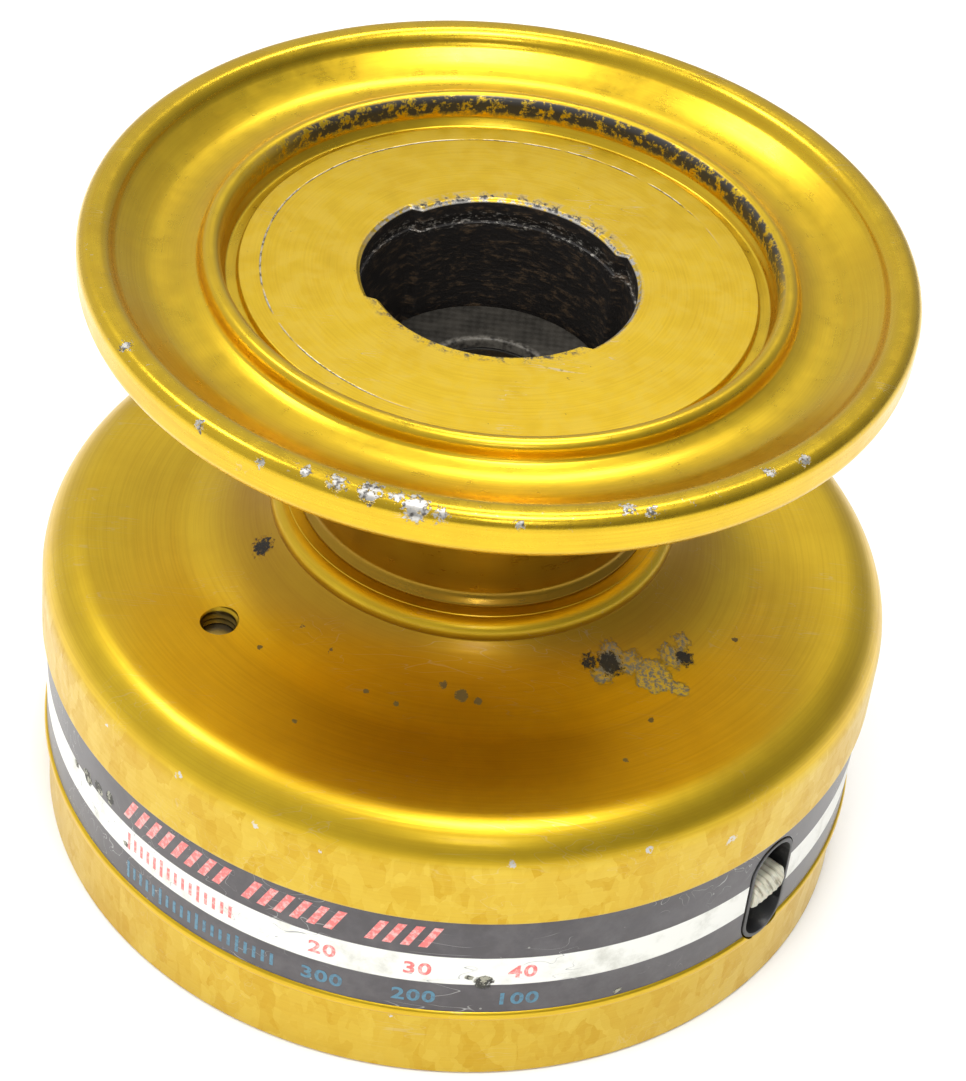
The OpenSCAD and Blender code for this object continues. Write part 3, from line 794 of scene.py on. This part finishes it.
def clip_ring(half_width, half_height, depth=None, drum=None, count=96):
    """An upright slot shape around the clip, at a depth from the axis or on a drum's surface."""
    straight = half_height - half_width

    def place(step):
        turn = math.tau * (step + 0.5) / count
        across = half_width * math.cos(turn)
        up = half_width * math.sin(turn) + math.copysign(straight, math.sin(turn))
        out = depth if drum is None else math.sqrt(drum * drum - across * across)
        return CLIP_TURN @ (Vector((out, across, CLIP_HEIGHT + up)) * MM)

    return place


def clip_slot_cutter():
    return lofted([clip_ring(2.35, 4.7, 26.5), clip_ring(2.35, 4.7, 33.0)], 96, False)


def tapped_hole_cutter():
    """A hole with a thread, drawn along Z at the click screw."""
    corners = [(0.0, 21.0, 0), (1.25, 21.0, 0)]
    for turn in range(4):
        ridge = 21.95 + 0.5 * turn
        corners += [(1.25, ridge - 0.2, 0), (1.5, ridge, 0), (1.25, ridge + 0.2, 0)]
    corners += [(1.25, 23.9, 0), (1.4, 24.1, 0), (1.4, 26.5, 0), (0.0, 26.5, 0)]
    return moved(turned(corners, 48), CLICK_PLACE)


class SPOOL_OT_skirt(SpoolOperator):
    """Turn the skirt with its shoulder, cove, bead and label seat"""

    bl_idname = "spool.skirt"
    bl_label = "Skirt"

    def execute(self, context):
        s = sizes()
        outer, rim, inner, rear = (v / MM for v in (s.skirt_radius, s.rim_radius, s.wall_radius, s.rear_height))
        seat = (LABEL_HIGH.x - s.label_thickness) / MM
        low, high = LABEL_LOW.z / MM, LABEL_HIGH.z / MM
        under = rear - 2.4
        section = [
            (inner, 0.0, 0.12), (rim, 0.0, 0.3), (rim, low - 0.98, 0.05), (rim + 0.4, low - 0.80, 0.3),
            (rim + 0.4, low, 0.3), (seat, low, 0), (seat, high, 0), (outer - 0.06, high, 0.05),
            (outer, high + 0.14, 0.1), (outer, rear - 0.3, 3.1), (26.2, rear, 1.2), (17.276, rear, 4.05),
            (14.42, 27.08, 0.08), (14.57, 27.2, 0.06), (14.55, SEAM - 0.05, 0.93), (13.55, SEAM - 0.05, 0),
            (13.5, SEAM, 0), (11.5, SEAM, 0), (11.5, under, 0.1), (inner, under, 1.0),
        ]
        bm = turned(section, s.turn_steps)
        post_hole = moved(rod(1.0, under - 0.5, under + 1.5), POST_PLACE)
        wire_place = CLICK_PLACE @ Matrix.Translation(Vector((0.15, SPRING_ANCHOR, 0.0)) * MM)
        wire_hole = moved(rod(0.32, under - 0.5, under + 1.0, 16), wire_place)
        bm = carve(bm, "skirt", [clip_slot_cutter(), tapped_hole_cutter(), post_hole, wire_hole])
        piece("spool_skirt", bm, skirt_finish(), "anodised_gold", "spool", "skirt")
        return {"FINISHED"}


class SPOOL_OT_label(SpoolOperator):
    """Wrap the label around the skirt and print its marks"""

    bl_idname = "spool.label"
    bl_label = "Label"

    def execute(self, context):
        s = sizes()
        c = colours()
        outer, thick = LABEL_HIGH.x / MM, s.label_thickness / MM
        low, high = LABEL_LOW.z / MM, LABEL_HIGH.z / MM
        section = [(outer - thick, low, 0), (outer, low, 0.03), (outer, high, 0.03), (outer - thick, high, 0)]
        bm = carve(turned(section, s.turn_steps), "label", [clip_slot_cutter()])
        piece("label_film", bm, label_finish(), "label_film", "spool", "label_band")
        red = print_finish("red_print", c.print_red, c.label_white)
        blue = print_finish("blue_print", c.print_blue, c.label_dark)
        tens = [("20", -102.9, 10.9), ("30", -90.3, 10.9), ("40", -76.5, 10.9)]
        hundreds = [("300", -102.7, 8.15), ("200", -90.4, 8.15), ("100", -76.8, 8.15)]
        self.marks("label_marks_red", red, self.slanted_bars() + self.ticks(11.0, 15), tens)
        self.marks("label_marks_blue", blue, self.ticks(8.2, 20), hundreds)
        return {"FINISHED"}

    def slanted_bars(self):
        """(azimuth, height, width, tall, lean) of each bar of the three groups on the upper stripe."""
        groups = ((-134.2, 8), (-113.2, 6), (-96.0, 4))
        return [(start + 2.35 * i, 14.15, 0.62, 2.0, 0.5) for start, count in groups for i in range(count)]

    def ticks(self, height, count):
        """A scale with every fifth tick longer."""
        return [(-134.4 + 1.3 * i, height, 0.26, 1.15 if i % 5 else 1.6, 0.0) for i in range(count)]

    def marks(self, name, material, bars, figures):
        """Thin solid marks bent onto the film."""
        surface, ink = LABEL_HIGH.x / MM, 0.014
        merged = bmesh.new()
        for azimuth, height, width, tall, lean in bars:
            bar = block((-width / 2, 0, -tall / 2), (width / 2, ink, tall / 2))
            for vert in bar.verts:
                vert.co.x += lean * vert.co.z
            self.wrap(bar, azimuth, height, surface)
            self.join(merged, bar)
        for text, azimuth, height in figures:
            self.join(merged, self.figure(text, azimuth, height, surface, ink))
        bmesh.ops.recalc_face_normals(merged, faces=merged.faces[:])
        piece(name, merged, material, "label_film", "spool")

    def figure(self, text, azimuth, height, surface, ink):
        curve = bpy.data.curves.new("figure", "FONT")
        curve.body, curve.size, curve.extrude = text, 1.6 * MM, ink * MM / 2
        curve.align_x, curve.align_y, curve.offset = "CENTER", "CENTER", 0.04 * MM
        curve.resolution_u, curve.space_character = 4, 1.12
        obj = bpy.data.objects.new("figure", curve)
        bpy.context.scene.collection.objects.link(obj)
        mesh = bpy.data.meshes.new_from_object(obj.evaluated_get(bpy.context.evaluated_depsgraph_get()))
        bm = bmesh.new()
        bm.from_mesh(mesh)
        bpy.data.objects.remove(obj)
        bpy.data.curves.remove(curve)
        bpy.data.meshes.remove(mesh)
        bmesh.ops.remove_doubles(bm, verts=bm.verts[:], dist=1e-7)
        bmesh.ops.scale(bm, verts=bm.verts[:], vec=(1.18, 1.0, 1.0))
        bmesh.ops.rotate(bm, verts=bm.verts[:], cent=(0, 0, 0), matrix=Matrix.Rotation(math.pi / 2, 3, "X"))
        bmesh.ops.translate(bm, verts=bm.verts[:], vec=(0, ink * MM / 2, 0))
        self.wrap(bm, azimuth, height, surface)
        return bm

    def wrap(self, bm, azimuth, height, surface):
        """Bends a mark drawn in X and Z, with its thickness along Y, onto the drum."""
        for vert in bm.verts:
            turn = math.radians(azimuth) + vert.co.x / (surface * MM)
            radius = surface * MM + abs(vert.co.y)
            vert.co = (radius * math.cos(turn), radius * math.sin(turn), vert.co.z + height * MM)

    def join(self, target, source):
        mesh = bpy.data.meshes.new("mark")
        source.to_mesh(mesh)
        source.free()
        target.from_mesh(mesh)
        bpy.data.meshes.remove(mesh)


class SPOOL_OT_line_clip(SpoolOperator):
    """Mould the line clip's housing and its sprung button"""

    bl_idname = "spool.line_clip"
    bl_label = "Line clip"

    def execute(self, context):
        drum = LABEL_HIGH.x / MM + 0.1
        rings = [
            clip_ring(0.75, 0.76, CLIP_SEAT), clip_ring(3.2, 5.55, CLIP_SEAT),
            clip_ring(3.2, 5.55, 28.05), clip_ring(2.25, 4.6, 28.05),
            clip_ring(2.25, 4.6, drum=drum), clip_ring(1.9, 4.25, drum=drum),
            clip_ring(1.85, 4.2, 28.0), clip_ring(0.75, 0.76, 28.0),
        ]
        bm = round_edges(lofted(rings, 96, True), 50.0, 0.07)
        piece("line_clip_frame", bm, moulding_finish(), "black_plastic", "spool", "line_clip_housing")

        nylon = nylon_finish("streaked_nylon", CLIP_TURN @ Vector((0.0, 0.86, 0.5)))
        piece("line_clip_tab", self.button(), nylon, "pale_nylon", "clip_button", "line_clip_button")
        strip = metal_finish("spring_strip", colours().steel, (0.16, 0.13, 0.10, 1.0))
        leaf = piece("line_clip_leaf", self.leaf(), strip, "spring_steel", "spool", "line_clip_spring")
        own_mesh(leaf)
        return {"FINISHED"}

    def leaf(self):
        """Bowed strip behind the housing, with a hole for the button's stem."""
        bow, centre, half_tall, thick = 12.057, 38.287, 3.6, Vector((0.2 * MM, 0.0, 0.0))
        bm = bmesh.new()
        bmesh.ops.create_grid(bm, x_segments=6, y_segments=36, size=1.0)
        for vert in bm.verts:
            up = half_tall * vert.co.y
            vert.co = Vector((centre - math.sqrt(bow * bow - up * up), vert.co.x, CLIP_HEIGHT + up)) * MM
        made = bmesh.ops.extrude_face_region(bm, geom=bm.faces[:])["geom"]
        bmesh.ops.translate(bm, verts=list(vertices(made)), vec=thick)
        bmesh.ops.recalc_face_normals(bm, faces=bm.faces[:])
        sideways = Matrix.Translation((0, 0, CLIP_HEIGHT * MM)) @ Matrix.Rotation(math.pi / 2, 4, "Y")
        hole = moved(rod(0.8, 24.0, 30.0, 40), sideways)
        return moved(carve(round_edges(bm, 50.0, 0.04), "leaf", [hole]), CLIP_TURN)

    def button(self):
        """A stem with a head behind the leaf, and a square tab with a domed, ridged face."""
        count, half_wide, half_tall = 144, 1.7, 1.3

        def squared(value):
            return math.copysign(abs(value) ** 0.45, value)

        def face(share, across, up):
            """Depth of the tab's face, which turns down at its rim."""
            crest, dome = 30.44, 3.0
            ridge = 0.05 * math.cos(13.0 * (0.86 * across + 0.5 * up)) * min(1.0, 6.0 * (1.0 - share))
            rim = 0.12 * max(0.0, share - 0.93) / 0.07
            return crest - dome + math.sqrt(dome * dome - up * up) + ridge - rim

        def stem_ring(radius, depth):
            def place(step):
                turn = math.tau * step / count
                across, up = radius * math.cos(turn), radius * math.sin(turn)
                return CLIP_TURN @ (Vector((depth, across, CLIP_HEIGHT + up)) * MM)

            return place

        def tab_ring(share, depth=None):
            def place(step):
                turn = math.tau * step / count
                across = share * half_wide * squared(math.cos(turn))
                up = share * half_tall * squared(math.sin(turn))
                out = face(share, across, up) if depth is None else depth
                return CLIP_TURN @ (Vector((out, across, CLIP_HEIGHT + up)) * MM)

            return place

        head = ((1.05, 25.6), (1.15, 25.7), (1.15, 26.0), (1.05, 26.1), (0.7, 26.1), (0.7, 28.9))
        rings = [stem_ring(radius, depth) for radius, depth in head]
        rings += [tab_ring(0.94, 28.9), tab_ring(1.0, 29.0), tab_ring(1.0, 29.9)]
        rings += [tab_ring(1.0 - 0.03 * i) for i in range(33)]
        return lofted(rings, count, False)


class SPOOL_OT_drag_stack(SpoolOperator):
    """Lay the drag washers in the cavity"""

    bl_idname = "spool.drag_stack"
    bl_label = "Drag washers"

    def execute(self, context):
        fibre = fibre_finish()
        low, high, outer = TOP_WASHER_LOW.z / MM, TOP_WASHER_HIGH.z / MM, TOP_WASHER_HIGH.x / MM
        section = [(4.6, low, 0.1), (outer, low, 0.15), (outer, high, 0.2), (4.6, high, 0.16)]
        piece("drag_washer_top", turned(section, 160), fibre, "drag_fibre", "spool", "fibre_washer_top")
        for node in ("fibre_washer_bottom", "fibre_washer_lower", "fibre_washer_upper"):
            dress(node, fibre)
        washer_steel = metal_finish("washer_steel", colours().steel, (0.14, 0.12, 0.10, 1.0))
        for node in ("keyed_washer_lower", "eared_washer", "keyed_washer_upper"):
            dress(node, washer_steel)
        return {"FINISHED"}


class SPOOL_OT_centre_fittings(SpoolOperator):
    """Turn the spindle bush and the ring that clamps the hub to the skirt"""

    bl_idname = "spool.centre_fittings"
    bl_label = "Bush and clamp ring"

    def execute(self, context):
        low, high = BUSH_LOW.z / MM, BUSH_HIGH.z / MM
        bush = [(4.2, low, 0.4), (6.2, low, 0.2), (6.2, high, 0.2), (4.2, high, 0.25)]
        bronze = metal_finish("sintered_bronze", colours().bronze, (0.15, 0.085, 0.04, 1.0))
        piece("hub_bush", turned(bush, 128), bronze, "bronze", "spool", "spindle_bush")
        low, high = CLAMP_LOW.z / MM, CLAMP_HIGH.z / MM
        ring = [(11.5, low, 0.15), (14.0, low, 0.35), (14.0, high, 0.1), (11.5, high, 0.1)]
        steel = metal_finish("clamp_steel", colours().steel, (0.13, 0.10, 0.08, 1.0))
        piece("clamp_ring", turned(ring, 160), steel, "steel", "spool", "hub_clamp_ring")
        return {"FINISHED"}


class SPOOL_OT_click(SpoolOperator):
    """Make the click tongue with its collar, screw, post and spring"""

    bl_idname = "spool.click"
    bl_label = "Click"

    def execute(self, context):
        centre = (CLICK_CENTRE.x / MM, CLICK_CENTRE.y / MM)
        steel = metal_finish("screw_steel", colours().steel, (0.20, 0.17, 0.13, 1.0), centre)
        bronze = metal_finish("collar_bronze", colours().bronze, (0.15, 0.085, 0.04, 1.0), centre)
        low, high = COLLAR_LOW.z / MM, COLLAR_HIGH.z / MM
        collar = [
            (1.55, low, 0.08), (2.3, low, 0.1), (2.3, high - 1.45, 0.05),
            (3.3, high - 1.45, 0.15), (3.3, high, 0.1), (1.55, high, 0.08),
        ]
        piece("click_bearing", moved(turned(collar, 64), CLICK_PLACE), bronze, "bronze", "spool", "click_collar")

        low, high = SCREW_LOW.z / MM, SCREW_HIGH.z / MM
        screw = [
            (0.0, low, 0), (2.9, low, 0.7), (2.9, low + 1.7, 0.15),
            (1.2, low + 1.7, 0.05), (1.2, high, 0.25), (0.0, high, 0),
        ]
        slot = block((-4.0, -0.4, low - 1.0), (4.0, 0.4, low + 0.8))
        head = carve(turned(screw, 64), "screw", [slot])
        piece("click_fixing_screw", moved(head, CLICK_PLACE), steel, "steel", "spool", "click_screw")

        low, high = POST_LOW.z / MM, POST_HIGH.z / MM
        post = [
            (0.0, low, 0), (1.6, low, 0.25), (1.6, low + 0.6, 0.1),
            (1.0, low + 0.6, 0), (1.0, high, 0.1), (0.0, high, 0),
        ]
        piece("click_spring_post", moved(turned(post, 48), POST_PLACE), steel, "steel", "spool", "spring_post")

        nylon = nylon_finish("moulded_nylon", CLICK_TURN @ Vector((0.0, 1.0, 0.0)))
        piece("click_pawl", self.pawl(), nylon, "pale_nylon", "tongue", "click_tongue")
        self.spring()
        return {"FINISHED"}

    def pawl(self):
        """A flat pawl: boss, tapered nose and a tail with the spring's hole."""
        low, high = TONGUE_LOW.z, TONGUE_HIGH.z
        bm = bmesh.new()
        for height in (low, high):
            for across, radius, steps in ((0.0, 3.6, 72), (TAIL_HOLE, 1.2, 32), (-9.3, 1.0, 24), (-10.45, 0.15, 12)):
                made = bmesh.ops.create_circle(bm, segments=steps, radius=radius * MM)["verts"]
                bmesh.ops.translate(bm, verts=made, vec=(across * MM, 0, height))
        hull = bmesh.ops.convex_hull(bm, input=bm.verts[:])
        spare = vertices(hull["geom_interior"] + hull["geom_unused"])
        bmesh.ops.delete(bm, geom=list(spare), context="VERTS")
        drop_wires(bm)
        bmesh.ops.dissolve_limit(bm, angle_limit=math.radians(0.5), verts=bm.verts[:], edges=bm.edges[:])
        round_edges(bm, 60.0, 0.22, 3)
        below, above = low / MM - 1.0, high / MM + 1.0
        tail_hole = moved(rod(0.45, below, above, 24), Matrix.Translation((TAIL_HOLE * MM, 0, 0)))
        return moved(carve(bm, "pawl", [rod(2.35, below, above, 64), tail_hole]), CLICK_PLACE)

    def spring(self):
        """Wire from its anchor, round the post and down into the pawl's tail."""
        under, turns, steps = 21.6, 2.5, 90
        coil_r, rise = 1.35, 1.5
        high = under - 1.45 + 0.3
        low = high - rise
        side = POST.x - coil_r
        points = [
            (side, SPRING_ANCHOR, under + 0.8), (side, SPRING_ANCHOR, low + 0.7),
            (side, SPRING_ANCHOR - 0.06, low + 0.35), (side, SPRING_ANCHOR - 0.35, low + 0.06),
            (side, SPRING_ANCHOR - 0.8, low), (side, POST.y + 1.0, low),
        ]
        for step in range(steps + 1):
            turn = math.tau * turns * step / steps - math.pi
            across, along = POST.x + coil_r * math.cos(turn), POST.y + coil_r * math.sin(turn)
            points.append((across, along, low + rise * step / steps))
        points += [
            (POST.x + coil_r + 0.1, POST.y - 1.5, high), (TAIL_HOLE - 0.5, 2.4, high), (TAIL_HOLE, 0.9, high),
            (TAIL_HOLE, 0.35, high - 0.1), (TAIL_HOLE, 0.08, high - 0.38), (TAIL_HOLE, 0.0, high - 0.8),
            (TAIL_HOLE, 0.0, TONGUE_LOW.z / MM - 0.3),
        ]
        curve = bpy.data.curves.new("spring_wire", "CURVE")
        curve.dimensions, curve.bevel_depth, curve.bevel_resolution = "3D", 0.22 * MM, 3
        curve.use_fill_caps = True
        spline = curve.splines.new("POLY")
        spline.points.add(len(points) - 1)
        for point, place in zip(spline.points, points):
            point.co = (*(CLICK_PLACE @ (Vector(place) * MM)), 1.0)
        wire = bpy.data.objects.new("wire", curve)
        bpy.context.scene.collection.objects.link(wire)
        graph = bpy.context.evaluated_depsgraph_get()
        mesh = bpy.data.meshes.new_from_object(wire.evaluated_get(graph))
        bpy.data.objects.remove(wire)
        bpy.data.curves.remove(curve)
        bm = bmesh.new()
        bm.from_mesh(mesh)
        bpy.data.meshes.remove(mesh)
        bmesh.ops.remove_doubles(bm, verts=bm.verts[:], dist=1e-7)
        bmesh.ops.recalc_face_normals(bm, faces=bm.faces[:])
        for face in bm.faces:
            face.smooth = True
        obj = loose(bm, "click_wire")
        obj.data.materials.append(metal_finish("spring_wire_steel", colours().steel, (0.13, 0.12, 0.11, 1.0)))
        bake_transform(obj)
        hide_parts("click_spring")


class SPOOL_OT_stage(SpoolOperator):
    """Set the floor, the soft studio light and the camera"""

    bl_idname = "spool.stage"
    bl_label = "Floor, light and camera"

    def execute(self, context):
        scene = context.scene
        self.floor()
        self.lights(scene)
        self.camera(scene)
        scene.view_settings.view_transform = "Standard"
        scene.view_settings.look = "None"
        return {"FINISHED"}

    def floor(self):
        bm = bmesh.new()
        bmesh.ops.create_grid(bm, x_segments=8, y_segments=8, size=1.5)
        obj = loose(bm, "studio_floor")
        f = Finish("pale_paper")
        tone = f.blend(f.noise(0.02, 3.0), (0.90, 0.90, 0.89, 1.0), (0.87, 0.87, 0.865, 1.0))
        f.wear(base_color=tone, roughness=f.plus(0.75, f.noise(0.5), 0.1))
        obj.data.materials.append(f.material)

    def lights(self, scene):
        power = scene.spool_lights
        for name, watts, place, size in (
            ("top_light", power.top, (0.05, -0.07, 0.52), (0.14, 0.11)),
            ("back_light", power.back, (0.05, 0.25, 0.49), (0.14, 0.08)),
            ("left_light", power.left, (-0.24, 0.11, 0.47), (0.10, 0.10)),
            ("front_light", power.front, (0.07, -0.36, 0.40), (0.09, 0.09)),
            ("floor_wash", power.wash, (-0.15, -0.40, 0.80), (0.80, 0.80)),
        ):
            lamp = bpy.data.lights.new(name, "AREA")
            lamp.shape, lamp.energy = "RECTANGLE", watts
            lamp.size, lamp.size_y = size
            obj = bpy.data.objects.new(name, lamp)
            scene.collection.objects.link(obj)
            obj.location = place
            obj.rotation_euler = (Vector((0, 0, 0.03)) - Vector(place)).to_track_quat("-Z", "Y").to_euler()
            obj.visible_glossy = name != "floor_wash"
        world = bpy.data.worlds.new("studio_air")
        world.use_nodes = True
        tree = world.node_tree
        back = next(node for node in tree.nodes if node.type == "BACKGROUND")
        back.inputs["Strength"].default_value = power.air
        way = tree.nodes.new("ShaderNodeTexCoord")
        side = tree.nodes.new("ShaderNodeVectorMath")
        side.operation = "DOT_PRODUCT"
        side.inputs[1].default_value = (-0.86, 0.35, 0.37)
        shade = tree.nodes.new("ShaderNodeMapRange")
        shade.inputs["From Min"].default_value, shade.inputs["To Min"].default_value = -1.0, 0.3
        shade.inputs["From Max"].default_value, shade.inputs["To Max"].default_value = 1.0, 1.65
        tree.links.new(way.outputs["Generated"], side.inputs[0])
        tree.links.new(side.outputs["Value"], shade.inputs["Value"])
        tree.links.new(shade.outputs["Result"], back.inputs["Color"])
        scene.world = world

    def camera(self, scene):
        place, aim = Vector((0.0, -0.179265, 0.178223)), Vector((0.0, 0.0, 0.024505))
        pan, tilt, roll = (math.radians(v) for v in (-0.247, -0.151, 6.615))
        lens = bpy.data.cameras.new("studio_camera")
        lens.sensor_fit, lens.sensor_width, lens.lens = "HORIZONTAL", 36.0, 121.9
        lens.clip_start, lens.clip_end = 0.01, 10.0
        obj = bpy.data.objects.new("studio_camera", lens)
        scene.collection.objects.link(obj)
        view = (aim - place).to_track_quat("-Z", "Y").to_matrix().to_4x4()
        view = view @ Matrix.Rotation(pan, 4, "Y") @ Matrix.Rotation(tilt, 4, "X") @ Matrix.Rotation(roll, 4, "Z")
        obj.matrix_world = Matrix.Translation(place) @ view
        scene.camera = obj


class SPOOL_PT_maker(bpy.types.Panel):
    """Lists the sizes, finishes and steps of the spool"""

    bl_label = "Line Spool"
    bl_idname = "SPOOL_PT_maker"
    bl_space_type = "VIEW_3D"
    bl_region_type = "UI"
    bl_category = "Line Spool"

    def draw(self, context):
        layout = self.layout
        for group in (context.scene.spool_sizes, context.scene.spool_colours, context.scene.spool_lights):
            box = layout.box()
            for name in group.__annotations__:
                box.prop(group, name)
        for step in STEPS:
            layout.operator(step.bl_idname)


GROUPS = (SpoolSizes, SpoolColours, SpoolLights)
STEPS = (
    SPOOL_OT_hub, SPOOL_OT_skirt, SPOOL_OT_label, SPOOL_OT_line_clip, SPOOL_OT_drag_stack,
    SPOOL_OT_centre_fittings, SPOOL_OT_click, SPOOL_OT_stage,
)


def register():
    for cls in (*GROUPS, *STEPS, SPOOL_PT_maker):
        bpy.utils.register_class(cls)
    bpy.types.Scene.spool_sizes = PointerProperty(type=SpoolSizes)
    bpy.types.Scene.spool_colours = PointerProperty(type=SpoolColours)
    bpy.types.Scene.spool_lights = PointerProperty(type=SpoolLights)


def unregister():
    del bpy.types.Scene.spool_lights
    del bpy.types.Scene.spool_colours
    del bpy.types.Scene.spool_sizes
    for cls in reversed((*GROUPS, *STEPS, SPOOL_PT_maker)):
        bpy.utils.unregister_class(cls)


def main():
    register()
    bpy.ops.spool.hub()
    bpy.ops.spool.skirt()
    bpy.ops.spool.label()
    bpy.ops.spool.line_clip()
    bpy.ops.spool.drag_stack()
    bpy.ops.spool.centre_fittings()
    bpy.ops.spool.click()
    bpy.ops.spool.stage()


if __name__ == "__main__":
    main()
